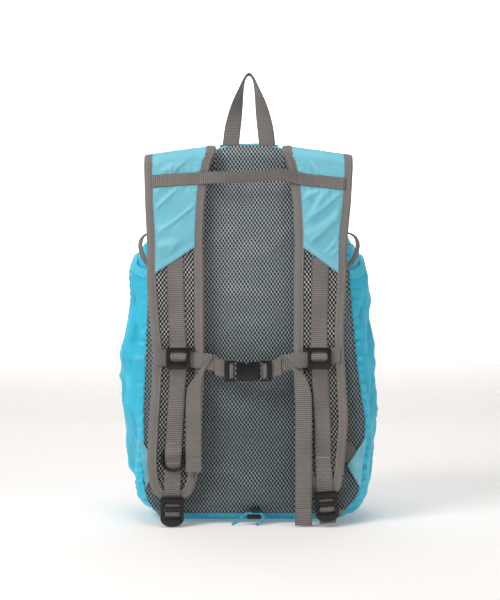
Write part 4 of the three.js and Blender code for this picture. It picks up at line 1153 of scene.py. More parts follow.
def on_band(track, corners, pitch, off=0.9, fill=0.7):
    """Running stitches on a band through corners given as (distance along, share across)."""
    made = []
    for (far_a, share_a), (far_b, share_b) in zip(corners, corners[1:]):
        start, end = track.at(far_a, share_a, off), track.at(far_b, share_b, off)
        count = max(int(round(np.linalg.norm(end - start) / pitch)), 1)
        for k in range(count):
            low, high = k / count, (k + fill) / count
            ends = [track.at(mix(far_a, far_b, t), mix(share_a, share_b, t), off) for t in (low, high)]
            made.append((ends[0], ends[1], track.up(mix(far_a, far_b, low))))
    return made


def box_stitch(track, low, high, half=0.42, pitch=2.6):
    """A sewn box with its diagonals."""
    ring = [(low, -half), (high, -half), (high, half), (low, half), (low, -half)]
    lines = (ring, [(low, -half), (high, half)], [(low, half), (high, -half)])
    return [stitch for line in lines for stitch in on_band(track, line, pitch)]


def bar_tack(track, far, half=0.42, spread=1.3, count=26):
    """A dense zigzag right across a band."""
    corners = [(far + (spread if k % 2 else -spread) / 2, mix(-half, half, k / count))
               for k in range(count + 1)]
    return on_band(track, corners, 9.0, fill=1.0)


# Radius and bow of a fine thread
FINE_THREAD = (0.24, 0.15)

STITCHES = stitch_tree()
COIL = coil_tree()


# Harness
STRAP_ROWS = [
    # up, inner, left, right, lean, drop, end
    (0.071, 0.63, 0.84, 0.83, 0.05, 0, 1),
    (0.086, 0.56, 0.91, 0.875, 0.05, 0, 1),
    (0.113, 0.518, 0.95, 0.893, 0.03, 0, 0.8),
    (0.166, 0.49, 0.97, 0.912, 0.02, 0, 0.5),
    (0.27, 0.466, 0.95, 0.941, 0, 0, 0.2),
    (0.375, 0.446, 0.922, 0.922, 0, 0, 0),
    (0.453, 0.44, 0.912, 0.902, 0, 0, 0),
    (0.53, 0.442, 0.941, 0.902, 0, 0, 0),
    (0.635, 0.442, 0.97, 0.926, 0, 0, 0),
    (0.74, 0.451, 0.97, 0.931, 0, 0, 0),
    (0.844, 0.437, 0.989, 0.97, 0, 0, 0),
    (0.948, 0.379, 1, 0.99, 0, 0.35, 0),
    (0.975, 0.33, 1, 0.99, 0, 0.8, 0),
]


def hang_face(z):
    return HANG_REACH + STRAP_BOW * np.sin(np.pi * np.clip(np.asarray(z, float) / BODY_HEIGHT, 0, 1))


class Strap:
    """One shoulder strap's outline. "across" runs from its inner edge, 0, to its outer edge, 1."""

    def __init__(self, name, sign):
        self.name, self.sign = name, sign
        self.end_lift = RIGHT_END_LIFT if sign > 0 else 0
        rows = np.array(STRAP_ROWS)
        self.z = rows[:, 0] * BODY_HEIGHT + rows[:, 6] * self.end_lift
        self.inner = (rows[:, 1] + (rows[:, 4] if sign > 0 else 0)) * HARNESS_HALF
        self.outer = rows[:, 3 if sign > 0 else 2] * HARNESS_HALF
        self.drop = rows[:, 5] * FOLD_DROP

    def edges(self, z):
        return [curve_through(self.z, grid, z) for grid in (self.inner, self.outer, self.drop)]

    def at(self, z, across, off):
        inner, outer, drop = self.edges(z)
        low = z - drop * across
        x, y, low = np.broadcast_arrays(self.sign * mix(inner, outer, across), -hang_face(low) - off, low)
        return np.stack([x, y, low], -1)


STRAPS = [Strap(name, sign) for name, sign in SIDES]


def pad_line(strap):
    """The pad's middle line up the front, over the fold and down its root, with edges and thickness."""
    front = np.append(np.arange(strap.z[0], strap.z[-1] - 3, 4.0), strap.z[-1])
    inner, outer, drop = strap.edges(front)
    rows = [(hang_face(z) - PAD_THICKNESS / 2, z, 0, PAD_THICKNESS, a, b, c)
            for z, a, b, c in zip(front, inner, outer, drop)]
    top = strap.z[-1]
    face = float(hang_face(top))
    root = REAR_REACH + SEAM_GAP + BACK_PAD + LAYER + ROOT_THICKNESS / 2
    bend = mix(root, face - PAD_THICKNESS / 2, 0.5)
    edges = rows[-1][4:]
    rows += [(bend, top + 10.2, 0, 3.6, *edges), (root, top + 3, 0, ROOT_THICKNESS, *edges),
             (root, top - 24, 0, ROOT_THICKNESS, *edges)]
    made, length = even(soften(np.array(rows, float), 6.0), 3.0)
    tangent = unit(np.gradient(made[:, :2], axis=0))
    return made, np.stack([tangent[:, 1], -tangent[:, 0]], 1), length


def fold_grid(strap, line, normal, across, off):
    """Points on the folded strap, at shares across it and heights off its middle line."""
    depth, z, _, _, inner, outer, drop = line.T
    x = strap.sign * (inner[:, None] + (outer - inner)[:, None] * across)
    y = -(depth[:, None] + normal[:, :1] * off)
    up = z[:, None] - drop[:, None] * across + normal[:, 1:] * off
    return np.stack(np.broadcast_arrays(x, y, up), -1)


def build_pad(strap):
    """The padded strap: foam between spacer mesh, pressed thin under its binding."""
    line, normal, length = pad_line(strap)
    across = np.concatenate([np.linspace(0, 0.08, 6), np.linspace(0.11, 0.89, 26), np.linspace(0.92, 1, 6)])
    share = np.broadcast_to(across, (len(line), len(across)))
    width = (line[:, 5] - line[:, 4])[:, None]
    from_edge = np.minimum(share, 1 - share) * width
    plump = 0.62 + 0.38 * smooth(from_edge, 0, 12)
    flat = fold_grid(strap, line, normal, share, 0.0)
    relief = 0.35 * ripple(flat, 26.0, 3.0) * smooth(from_edge, 3, 14)
    half = line[:, 3:4] / 2
    front = fold_grid(strap, line, normal, share, half * plump + relief * np.minimum(half / 3.5, 1))
    rear = fold_grid(strap, line, normal, share, -half * plump)
    uv = np.stack([share * width, np.broadcast_to(length[:, None], share.shape)], -1) * MM
    made = cloth_piece(f"strap_pad_{strap.name}", front, rear, strap_mesh, uv, crest=crest_of(relief))
    settle(made, "spacer_mesh", f"shoulder_pad_{strap.name}")


def build_binding(strap):
    """Grosgrain tape folded over the strap's edge, with a row of stitches near its inner border."""
    line, turn, _ = pad_line(strap)
    fold = [k for k in range(len(line)) if line[k, 1] > strap.z[-1] + 0.5 and turn[k, 0] > 0.12]
    rows = []
    for edge in (0, 1):
        over = []
        for k in fold:
            depth, z, _, thick, at_inner, at_outer, drop = line[k]
            x = strap.sign * (at_outer if edge else at_inner)
            spot = (x, -depth - turn[k, 0] * thick / 2, z - drop * edge + turn[k, 1] * thick / 2)
            over.append((*spot, -turn[k, 0], turn[k, 1], thick / PAD_THICKNESS))
        down = [(*strap.at(z, float(edge), 0.0), -1, 0, 1) for z in strap.z]
        rows += down + over if edge else over[::-1] + down[::-1]
    path, length = even(soften(np.array(rows, float), 9.0, 8), 2.2)
    path, lean, thin = path[:, :3], path[:, 3:5], path[:, 5]
    lean = unit(np.stack([0 * thin, lean[:, 0], lean[:, 1]], 1))
    flat = (lean[:, 1] < -0.999) & (path[:, 2] < strap.z[-1] + 0.5)
    heading = np.gradient(path, axis=0)
    heading[:, 1] = 0
    heading = unit(heading)
    out = np.stack([strap.sign * heading[:, 2], 0 * heading[:, 0], -strap.sign * heading[:, 0]], 1)
    front = LAYER + TAPE
    back = -PAD_THICKNESS - LAYER - TAPE
    bend = 3.0
    profile = [(-BINDING_WIDTH, front - 0.35), (-BINDING_WIDTH + 0.5, front + 0.2), (-8.4, front - 0.25),
               (-7, front + 0.3), (-4, front), (-1.5, front)]
    for turn in np.linspace(90, -90, 9):
        a = math.radians(turn)
        middle = mix(front, back, 0.5)
        tall = (front - back) / 2
        profile.append((-1.5 + bend * math.cos(a), middle + tall * math.sin(a)))
    profile += [(-4, back), (-BINDING_WIDTH, back)]
    inside = [(x - (0 if x < -1.6 else 0.9), o - TAPE * np.sign(o - mix(front, back, 0.5)))
              for x, o in profile]
    waver = ripple(path, 13.0, 6.0 + strap.sign) * 0.35

    def sheet(rows):
        grid = []
        for shift, off in rows:
            spot = path + out * (shift + waver * (shift < -5))[:, None]
            spot[:, 1] = np.where(flat, -hang_face(spot[:, 2]), spot[:, 1])
            rise = np.where(off < 0, off * thin, off) + 0.3 * waver
            grid.append(spot + lean * rise[:, None])
        return np.stack(grid, 1)

    outer_grid = sheet(profile)
    uv = np.stack(np.broadcast_arrays(run_of(outer_grid[0])[None, :], length[:, None]), -1) * MM
    edge = np.broadcast_to(np.abs(np.linspace(-1, 1, len(profile))), uv.shape[:2])
    made = cloth_piece(f"binding_tape_{strap.name}", outer_grid, sheet(inside), grosgrain, uv, edge=edge)
    settle(made, "webbing_gray", f"pad_binding_{strap.name}")
    row = path + out * (-BINDING_WIDTH + 1.6 + waver)[:, None]
    row[:, 1] = np.where(flat, -hang_face(row[:, 2]), row[:, 1])
    row += lean * (front + 0.12)
    settle(sew(f"binding_stitch_{strap.name}", along_line(row, 3.3, lean, 0.5, 4), thread_gray, 0.4, 0.25),
           "webbing_gray")


YOKE_ROWS = [
    # x, lift, height, bow
    (-116, -2.7, 1, 0), (-80, -0.4, 1, 0), (-57, 1, 1, 0), (-40, 1.6, 0.95, 0.5), (-18, 1, 0.85, 0.9),
    (8, 2.2, 0.8, 1), (32, 5.5, 0.9, 0.8), (48, 3.8, 1, 0.4), (60, 0.2, 1, 0), (88, -3, 1, 0),
    (115, -6, 1, 0),
]


def hem_at(across):
    return mix(HEM_INNER, HEM_OUTER, across)


def build_patch(strap):
    """Nylon facing of the strap's yoke, from its slanted hem over the top fold to the sewn root."""
    line, normal, _ = pad_line(strap)
    on_front = normal[:, 0] > 0.98
    across = np.linspace(0, 1, 46)
    rows = []
    lows = []
    top_row = np.nonzero(on_front)[0][-1]
    z_top = line[top_row, 1]
    lift = LAYER + TAPE + 0.1
    climb = np.linspace(0, 1, 62)
    for share in climb:
        z = mix(hem_at(across), z_top, share)
        inner, outer, drop = strap.edges(z)
        slant = np.hypot(1, (strap.edges(z + 6)[0] - strap.edges(z - 6)[0]) / 12)
        inset = (BINDING_WIDTH - 1.2) / (outer - inner)
        at = mix(inset * slant, 1 - inset, across)
        low = z - drop * at
        rows.append(np.stack([strap.sign * mix(inner, outer, at), -hang_face(low) - lift, low], -1))
        lows.append(at)
    fold = np.arange(top_row + 1, len(line))
    for k in fold:
        turn = smooth(-normal[k, 0], -0.12, 0.1)
        spread = mix(lows[-1][0], -0.002, turn), mix(lows[-1][-1], 1.002, turn)
        at = mix(spread[0], spread[1], across)
        off = line[k, 3] / 2 + 0.9
        rows.append(fold_grid(strap, line[k:k + 1], normal[k:k + 1], at[None], np.full((1, len(at)), off))[0])
    grid = np.array(rows)
    grid_out = grid_normals(grid)
    grid_out *= np.sign(-grid_out[:40, :, 1].mean())
    tilt = strap.sign
    x, z = grid[..., 0] * tilt, grid[..., 2]
    fan = np.arctan2(z - 300, 150 - x)
    drawn = np.stack([fan * 46.0, 0 * x, 0.012 * z + 0.01 * x], -1)
    rays = ripple(drawn, 1.6, 4.0 + tilt)
    way = np.where(z > YOKE_WEB_HEIGHT, 1, tilt * -1.0)
    folds = ripple(np.stack([0.66 * x + way * 0.75 * z, 0 * x, 0.2 * (0.75 * x - way * 0.66 * z)], -1),
                   19.0, 2 + tilt)
    slant = np.exp(-(folds / 0.14) ** 2)
    broad = ripple(grid, 38.0, 9.0)
    side = np.minimum(across, 1 - across)[None, :] * 60
    hem = (np.concatenate([climb, np.full(len(fold), 1.2)]) * 110)[:, None]
    calm = smooth(side, 0, 7) * smooth(hem, 7, 16)
    table = np.array(YOKE_ROWS)
    from_web = z - YOKE_WEB_HEIGHT - np.interp(tilt * x, table[:, 0], table[:, 1])
    near_web = np.exp(-(from_web / 10.5) ** 4)
    calm = calm * np.concatenate([1 - 0.85 * smooth(climb, 0.9, 1), np.full(len(fold), 0.15)])[:, None]
    height = calm * (2.3 * slant + 0.3 * rays + 1.8 * broad) * (1 - 0.95 * near_web)
    height += pucker(side, z, 0.9, 6.5, 4.5) * (1 - near_web)
    height += pucker(np.maximum(np.abs(from_web) - 7.5, 0), x, 0.5, 9.0, 7.0) * calm
    height = np.where(height > 0, height, 1.2 * (np.exp(np.minimum(height, 0) / 1.2) - 1)) + 0.25
    band = smooth(hem, 0, 0.8) * (1 - smooth(hem, 6.4, 7.4))
    height += 0.5 * band
    skin = grid + grid_out * height[..., None]
    # painted highlight: the raised hem band is given a high crest, which the cloth shader paints paler
    crest = np.maximum(crest_of(height), 0.95 * band)
    made = cloth_piece(f"yoke_cloth_{strap.name}", skin, skin - grid_out * 0.9, nylon_yoke, grid_uv(grid),
                       crest=crest)
    settle(made, "nylon_blue", f"yoke_patch_{strap.name}")
    stitches = []
    for far in (1.6, 5.6):
        row = int(np.argmin(np.abs(hem[:, 0] - far)))
        stitches += along_line(skin[row], 2.5, grid_out[row], 0.68, 1)
    for low, high in ((1.8, 3.6), (3.8, 5.6)):
        row_a, row_b = (int(np.argmin(np.abs(hem[:, 0] - far))) for far in (low, high))
        for k in range(1, 44):
            pick, other = (row_a, row_b) if k % 2 else (row_b, row_a)
            stitches.append((skin[pick, k], skin[other, k + 1], grid_out[pick, k]))
    settle(sew(f"yoke_stitch_{strap.name}", stitches, thread_cyan), "nylon_blue")


LOCK_WINDOW_HIGH = 28.8
LOCK_SEPARATOR_TOP = 22.8
THREAD_BAR = (13, 16.5)
LOCK_REAR = 2.5
OVER_BINDING = LAYER + TAPE + LAYER


class LockFrame:
    """Where a ladder lock hangs: right, off the strap's face and up."""

    def __init__(self, strap):
        floor = LOCK_FLOOR_LEFT if strap.sign < 0 else LOCK_FLOOR_RIGHT
        inner, outer, _ = strap.edges(strap.z[0])
        x = strap.sign * (inner + outer) / 2
        self.origin = np.array((x, -float(hang_face(floor + LOCK_HEIGHT + 9)) - OVER_BINDING + LAYER, floor))
        self.turn = 0.0 if strap.sign < 0 else -math.radians(LOCK_TILT_RIGHT)

    def at(self, right, off, up):
        x = right * math.cos(self.turn) + up * math.sin(self.turn)
        z = -right * math.sin(self.turn) + up * math.cos(self.turn)
        return self.origin + (x, -off, z)

    def width(self):
        return self.at(WEB_WIDTH, 0, 0) - self.origin


SLIDE_LOW, SLIDE_HIGH = 3.5, 7.1


def build_strap_web(strap):
    """The webbing down the strap: from under the hem through the chest slider to the ladder lock."""
    half = WEB_THICKNESS / 2
    ramp = 4.5
    slider_half = SLIDER_HEIGHT / 2 + 0.5
    lock = LockFrame(strap)
    ring = []
    if strap.sign < 0:
        ring = [(RING_HEIGHT + 8.2, LAYER), (RING_HEIGHT + 3.7, 3),
                (RING_HEIGHT + 1.6, RING_WIRE + 2 * LAYER),
                (RING_HEIGHT - 1.6, RING_WIRE + 2 * LAYER), (RING_HEIGHT - 3.7, 3),
                (RING_HEIGHT - 8.2, LAYER)]
    high = STERNUM_HEIGHT
    table = [(high + slider_half + ramp, LAYER), (high + slider_half, SLIDE_LOW), (high + 8, SLIDE_LOW),
             (high + 5, SLIDE_HIGH), (high - 0.1, SLIDE_HIGH), (high - 3.4, SLIDE_LOW),
             (high - slider_half, SLIDE_LOW),
             (high - slider_half - ramp, LAYER), *ring, (65 + strap.end_lift, LAYER)]
    plain = [z for z in strap.z if 68 + strap.end_lift < z < HEM_OUTER - 5
             and abs(z - high) > slider_half + ramp + 3 and (strap.sign > 0 or abs(z - RING_HEIGHT) > 14)]
    table = sorted(table + [(z, LAYER) for z in plain], reverse=True)
    wide = (WEB_WIDTH, 0, 0)
    top = 0.5 * (HEM_INNER + HEM_OUTER)
    rows = [(strap.at(top + 4, 0.5, half - 0.2), wide)]
    rows += [(strap.at(z, 0.5, off + half), wide) for z, off in table]
    over = LOCK_WINDOW_HIGH - LAYER - 0.4 - half
    behind = LOCK_REAR - 0.7 - half
    front = LOCK_REAR + 1.5 + LAYER + half
    for off, up in ((behind, LOCK_HEIGHT + 14), (behind, over), (front, over),
                    (front, LOCK_SEPARATOR_TOP + 0.6)):
        rows.append((lock.at(0, off, up), lock.width()))
    made, track = ribbon(f"strap_web_{strap.name}", rows, WEB_THICKNESS, webbing, 3.2, 1.6,
                         seed=3.0 + strap.sign)
    settle(made, "webbing_gray", f"strap_webbing_{strap.name}")
    base = track.middle[:, 2]

    def far(z):
        return float(np.interp(-z, -base[:-14], track.length[:-14]))

    stitches = on_band(track, [(far(280), -0.42), (far(280), 0.42)], 2.4)
    low = 48 + strap.end_lift
    stitches += bar_tack(track, far(low + 28))
    stitches += box_stitch(track, far(low + 14), far(low + (2 if strap.sign < 0 else 4)))
    if strap.sign < 0:
        stitches += bar_tack(track, far(RING_HEIGHT + 11))
    settle(sew(f"strap_stitch_{strap.name}", stitches, thread_gray, *FINE_THREAD), "webbing_gray")


def build_adjuster(strap):
    """The lower webbing: up from the bottom corner, over the lock's bar and down behind its lip."""
    lock = LockFrame(strap)
    half = WEB_THICKNESS / 2
    corner_x = strap.sign * (abs(lock.origin[0]) + 19)
    corner = np.array((corner_x, -REAR_REACH - BACK_PAD - SEAM_GAP - 4.5, 14.5))
    over = THREAD_BAR[1] + LAYER + half
    front = LOCK_REAR + 2 + LAYER + half
    behind = LOCK_REAR - LAYER - half
    under = THREAD_BAR[0] - LAYER - half
    tail = 2.2 if strap.sign < 0 else -2.8
    width = lock.width()
    slant = np.array((0.6 * WEB_WIDTH, 0, 0.7 * strap.sign * WEB_WIDTH)) * 0.8
    between = mix(corner, lock.at(0, -0.2, 11.5), 0.55) - (0, 0, 1)
    rows = [(corner, slant), (between, mix(slant, width, 0.5))]
    for off, up in ((-0.2, 11.5), (-0.2, over), (front, over), (front, under), (behind, under),
                    (behind, tail)):
        rows.append((lock.at(0, off, up), width))
    made, _ = ribbon(f"adjuster_web_{strap.name}", rows, WEB_THICKNESS, webbing, 1.6, 1.1, wave=0.05)
    settle(made, "webbing_gray", f"adjuster_webbing_{strap.name}")


# Chest strap
def build_chest_web(strap):
    half = WEB_THICKNESS / 2
    face = OVER_BINDING + half
    span = BUCKLE_LENGTH / 2
    thread_x = span - 4.3 - half
    inner_x = thread_x - 5.9
    height = STERNUM_HEIGHT - BUCKLE_DROP
    outer = strap.at(STERNUM_HEIGHT, 1.0, 0)[0] - strap.sign * 3.5
    pad = strap.at(STERNUM_HEIGHT, 0.0, 0)[0]

    def reach(x):
        return BUCKLE_CENTRE_X + strap.sign * x

    lean = 1.2 if strap.sign < 0 else 4.5
    depth = float(hang_face(STERNUM_HEIGHT))
    rows = [(outer, face, STERNUM_HEIGHT + lean), (mix(outer, pad, 0.5), face, STERNUM_HEIGHT - 0.5),
            (pad, face, STERNUM_HEIGHT - 3), (mix(pad, reach(span), 0.6), face, STERNUM_HEIGHT - 6),
            (reach(span + 3), 0.3, height + 2.5), (reach(thread_x), 0.3, height),
            (reach(thread_x), 4.6, height),
            (reach(inner_x), 4.6, height), (reach(inner_x), 1.3, height)]
    band = [((x, -depth - off, z), (0, 0, WEB_WIDTH)) for x, off, z in rows]
    made, _ = ribbon(f"chest_web_{strap.name}", band, WEB_THICKNESS, webbing, 2.2, 1.4, wave=0.1)
    settle(made, "webbing_gray", f"sternum_webbing_{strap.name}")


TAIL_ROWS = {
    "left": [(5.2, -41.6, -41.0), (-4, -51, -46.5), (-11.5, -57.6, -51.8), (-18.6, -62.5, -54.3),
             (-25.8, -68.5, -56), (-33, -73.5, -56.6), (-42.6, -75, -57)],
    "right": [(5.2, 38.6, 39.2), (-4, 42.5, 46.6), (-11.5, 49.2, 55.4), (-16, 53.4, 62), (-21, 55, 67.2),
              (-28, 55.2, 71), (-38, 55.2, 74.4)],
}
TAIL_HANG = {"left": (-75.6, -56.4), "right": (55.2, 75.6)}


def build_tail(strap):
    """A loose end that twists at the chest strap and hangs flat, with its end folded back and sewn."""
    low = TAIL_END_LEFT if strap.sign < 0 else TAIL_END_RIGHT
    rows = [(STERNUM_HEIGHT + lift, left, right) for lift, left, right in TAIL_ROWS[strap.name]]
    rows += [(z, *TAIL_HANG[strap.name]) for z in np.linspace(rows[-1][0], low, 7)[1:]]
    table = []
    for z, left, right in rows:
        off = 4.6 + 2.4 * smooth(STERNUM_HEIGHT - z, 20, 90)
        table.append((((left + right) / 2, -float(hang_face(z)) - off, z), (right - left, 0, 0)))
    made, track = ribbon(f"chest_tail_{strap.name}", table, WEB_THICKNESS, webbing, 9.0, 2.0, 0.5, 0.25, 5.0)
    settle(made, "webbing_gray", f"sternum_tail_{strap.name}")
    end = track.length[-1]
    fold = 17.5 if strap.sign < 0 else 21.0
    hem_rows = []
    for far, shift, off, half in ((end - fold, 0.8, 1.25, 0.49), (end - fold / 2, 0, 1.35, 0.5),
                                  (end, 0.2, 1.2, 0.495)):
        hem_rows.append((track.at(far + shift, 0, off), track.at(far, half, 0) - track.at(far, -half, 0)))
    hem, hem_track = ribbon(f"chest_tail_fold_{strap.name}", hem_rows, 1.1, webbing, 3.0, 1.6, wave=0.1)
    settle(hem, "webbing_gray")
    stitches = on_band(hem_track, [(2.4, -0.44), (2.4, 0.44)], 2.2, 0.75)
    settle(sew(f"chest_tail_stitch_{strap.name}", stitches, thread_gray, *FINE_THREAD), "webbing_gray")


def build_chest_return(strap):
    """The webbing that comes back from the buckle and is folded under at the twist."""
    sign = strap.sign
    reach = BUCKLE_LENGTH / 2
    z = STERNUM_HEIGHT - BUCKLE_DROP
    depth = float(hang_face(STERNUM_HEIGHT))
    near = BUCKLE_CENTRE_X + sign * (reach - 4)
    far = -41.0 if sign < 0 else 38.6
    rows = [((near, -depth - 2.4, z + 0.5), (0, 0, WEB_WIDTH - 0.4)),
            ((mix(near, far, 0.45), -depth - 4.0, z + 2.4), (0, 0, WEB_WIDTH)),
            ((far, -depth - 4.2, z + 5.6), (0, 0, WEB_WIDTH + 0.6))]
    made, _ = ribbon(f"chest_return_{strap.name}", rows, 1.2, webbing, 5.0, 1.5, wave=0.15)
    settle(made, "webbing_gray")


def build_yoke_web():
    off = OVER_BINDING + WEB_THICKNESS / 2
    rows = []
    for x, lift, height, bow in YOKE_ROWS:
        z = YOKE_WEB_HEIGHT + lift
        depth = float(hang_face(z - 0.6 * YOKE_WEB_WIDTH)) + off + 9 * bow
        tip = -9.0 * bow
        rows.append((((x / 114) * 0.912 * HARNESS_HALF, -depth, z), (0, tip, height * YOKE_WEB_WIDTH)))
    made, track = ribbon("yoke_web", rows, WEB_THICKNESS, webbing, 14.0, 1.8, wave=0.12)
    settle(made, "webbing_gray", "yoke_webbing")
    x = track.middle[:, 0]

    def far(at):
        return float(np.interp(at, x, track.length))

    stitches = []
    for low, high in ((-112, -57), (60, 112)):
        for share in (-0.4, 0.4):
            stitches += on_band(track, [(far(low), share), (far(high), share)], 3.2, fill=0.55)
        for at in (low + 1.5, high - 1.0):
            stitches += on_band(track, [(far(at), -0.4), (far(at), 0.4)], 2.4)
    settle(sew("yoke_web_stitch", stitches, thread_gray, *FINE_THREAD), "webbing_gray")


def build_haul_loop():
    """The grab loop: a band that stands on the top seam and turns edge-on at its peak."""
    leg = [(0.97, 0, 0), (0.93, 0.09, 0), (0.87, 0.24, 0.1), (0.74, 0.43, 0.32), (0.6, 0.61, 0.57),
           (0.44, 0.76, 0.8),
           (0.29, 0.9, 0.95), (0.14, 0.975, 1)]
    foot = float(rim_at(HALF_COUNT - 0.4)[1]) + SEAM_GAP
    y = -REAR_REACH - SEAM_GAP - BACK_PAD_RIM / 2

    def row(spread, up, turn, sign):
        a = turn * math.pi / 2
        return ((sign * spread * HAUL_FOOT_GAP, y + 3 * up, foot + up * HAUL_HEIGHT),
                (-sign * math.cos(a) * WEB_WIDTH, math.sin(a) * WEB_WIDTH, 0))

    rows = [row(*share, -1) for share in leg] + [row(0, 1, 1, 1)] + [row(*share, 1) for share in leg[::-1]]
    made, _ = ribbon("haul_web", rows, WEB_THICKNESS, webbing, 12.0, 1.6, wave=0.15)
    settle(made, "webbing_gray", "haul_loop")


HIP_CORNERS = (
    # x, height
    (142.5, 106), (118.5, 71.5), (135, 45),
)


def build_hips():
    """Cloth wings in the side seams, and the webbing stubs sewn to them behind the straps."""
    face = REAR_REACH + SEAM_GAP + BACK_PAD
    for name, sign in SIDES:
        reach = 0.93 if sign < 0 else 1
        high, apex, low = [np.array((sign * x * reach, z)) for x, z in HIP_CORNERS]
        web_near = face + LAYER
        wing_near = web_near + WEB_THICKNESS + LAYER
        count = 24
        grid = []
        for i in range(count + 1):
            t = i / count
            rim_side = mix(high, low, t)
            leg = mix(high, apex, t * 2) if t < 0.5 else mix(apex, low, t * 2 - 1)
            grid.append([mix(rim_side, leg, s) for s in np.linspace(0, 1, 14)])
        grid = np.array(grid)
        flat = np.stack([grid[..., 0], 0 * grid[..., 0], grid[..., 1]], -1)
        relief = 0.5 * ripple(flat, 12.0, 2.0 + sign)
        front = flat.copy()
        front[..., 1] = -(wing_near + TAPE - 0.3 + relief * np.linspace(0.2, 1, 14)[None, :] * 0.6)
        rear = flat.copy()
        rear[..., 1] = -(wing_near - 0.1)
        uv = flat[..., (0, 2)] * MM
        made = cloth_piece(f"hip_cloth_{name}", front, rear, nylon_yoke, uv, crest=crest_of(relief))
        settle(made, "nylon_blue", f"hip_wing_{name}")
        facing = np.broadcast_to((0.0, -1.0, 0.0), front[:, 0].shape)
        stitches = []
        for column in (11, 12):
            stitches += along_line(front[:, column] + (0, -0.1, 0), 2.6, facing)
        settle(sew(f"hip_stitch_{name}", stitches, thread_cyan, *FINE_THREAD), "nylon_blue")
        sewn = mix(apex, high, 0.27)
        heading = np.array((-sign * 0.7, 0.714))
        across = np.array((sign * 0.714, 0.7)) * WEB_WIDTH
        start = sewn - heading * 9
        y = -(web_near + WEB_THICKNESS / 2)
        rows = []
        for t in (0, 0.5, 1):
            x, z = start + heading * HIP_WEB_LENGTH * t
            rows.append(((x, y, z), (across[0], 0, across[1])))
        made, _ = ribbon(f"hip_web_{name}", rows, WEB_THICKNESS, webbing, 5.0, 2.0)
        settle(made, "webbing_gray", f"hip_webbing_{name}")


# Moulded hardware
def moulded(node, bevel=0.5, corners=()):
    """A copy of a CAD part with moulded radii. corners holds those of its outer and inner corners."""
    source = bpy.data.objects[node]
    mesh = source.data.copy()
    mesh.transform(source.matrix_world)
    mesh.name = f"{node}_moulded"
    mesh.materials.clear()
    mesh.materials.append(plastic)
    work = bmesh.new()
    work.from_mesh(mesh)
    bmesh.ops.remove_doubles(work, verts=work.verts, dist=0.00002)
    bmesh.ops.dissolve_limit(work, angle_limit=math.radians(1.5), verts=work.verts, edges=work.edges)
    for radius, hollow in zip(corners, (False, True)):
        picked = []
        for edge in work.edges:
            step = edge.verts[1].co - edge.verts[0].co
            if len(edge.link_faces) == 2 and abs(step.y) > 0.95 * step.length and step.length > 0.0015:
                angle = edge.calc_face_angle_signed(0.0)
                if abs(angle) > 1.2 and (angle < 0) == hollow:
                    picked.append(edge)
        bmesh.ops.bevel(work, geom=picked, offset=radius * MM, segments=5, profile=0.5, affect="EDGES",
                        clamp_overlap=True)
    work.to_mesh(mesh)
    work.free()
    for polygon in mesh.polygons:
        polygon.material_index = 0
    made = put_in_scene(f"{node}_moulded", mesh)
    edge = made.modifiers.new("edge", "BEVEL")
    edge.width = bevel * MM
    edge.segments = 3
    edge.limit_method = "ANGLE"
    edge.angle_limit = math.radians(35)
    edge.use_clamp_overlap = True
    edge.harden_normals = False
    graph = bpy.context.evaluated_depsgraph_get()
    finished = bpy.data.meshes.new_from_object(made.evaluated_get(graph), depsgraph=graph)
    made.modifiers.clear()
    made.data = finished
    finished.name = made.name
    finished.shade_smooth()
    finished.set_sharp_from_angle(angle=math.radians(38))
    settle(made, "plastic_black", node)


def build_hardware():
    for node in ("cord_lock", "zip_slider_left", "zip_slider_right"):
        moulded(node)
    moulded("buckle_socket", 1.0, (1.6,))
    moulded("buckle_prong", 0.8, (1.6,))
    for side, _ in SIDES:
        moulded(f"ladder_lock_{side}", 0.6, (1.6,))
        moulded(f"sternum_slider_{side}", 0.8, (3.0, 1.4))
    moulded("d_ring", 0.2)


# Drawcord
CORD_ROUTE = [
    # x, y, height
    (-20.5, -98, 1.8), (-17, -97, 2.9), (-13, -95.8, 5), (-9.6, -94.8, 8.4), (-6.8, -93.8, 11.8),
    (-2.6, -92.7, 13.7), (2, -92.2, 13.8), (6, -92, 13.8), (10, -92.2, 13.8), (14.2, -93, 13.3),
    (17.2, -94.2, 11), (17.4, -95.6, 7.6), (15.2, -96.8, 4.6), (12, -97.8, 2.6), (8.6, -98.6, 1.8),
]


def catmull(points, count):
    """A centripetal curve through points."""
    p = np.array(points, float)
    p = np.concatenate([[2 * p[0] - p[1]], p, [2 * p[-1] - p[-2]]])
    made = []
    for k in range(1, len(p) - 2):
        knots = [0.0]
        for a, b in zip(p[k - 1:k + 3], p[k:k + 3]):
            knots.append(knots[-1] + max(np.linalg.norm(b - a), 1e-6) ** 0.5)
        t0, t1, t2, t3 = knots
        for t in np.linspace(t1, t2, count, endpoint=False):
            a1 = (t1 - t) / (t1 - t0) * p[k - 1] + (t - t0) / (t1 - t0) * p[k]
            a2 = (t2 - t) / (t2 - t1) * p[k] + (t - t1) / (t2 - t1) * p[k + 1]
            a3 = (t3 - t) / (t3 - t2) * p[k + 1] + (t - t2) / (t3 - t2) * p[k + 2]
            b1 = (t2 - t) / (t2 - t0) * a1 + (t - t0) / (t2 - t0) * a2
            b2 = (t3 - t) / (t3 - t1) * a2 + (t - t1) / (t3 - t1) * a3
            made.append((t2 - t) / (t2 - t1) * b1 + (t - t1) / (t2 - t1) * b2)
    made.append(p[-2])
    return np.array(made)


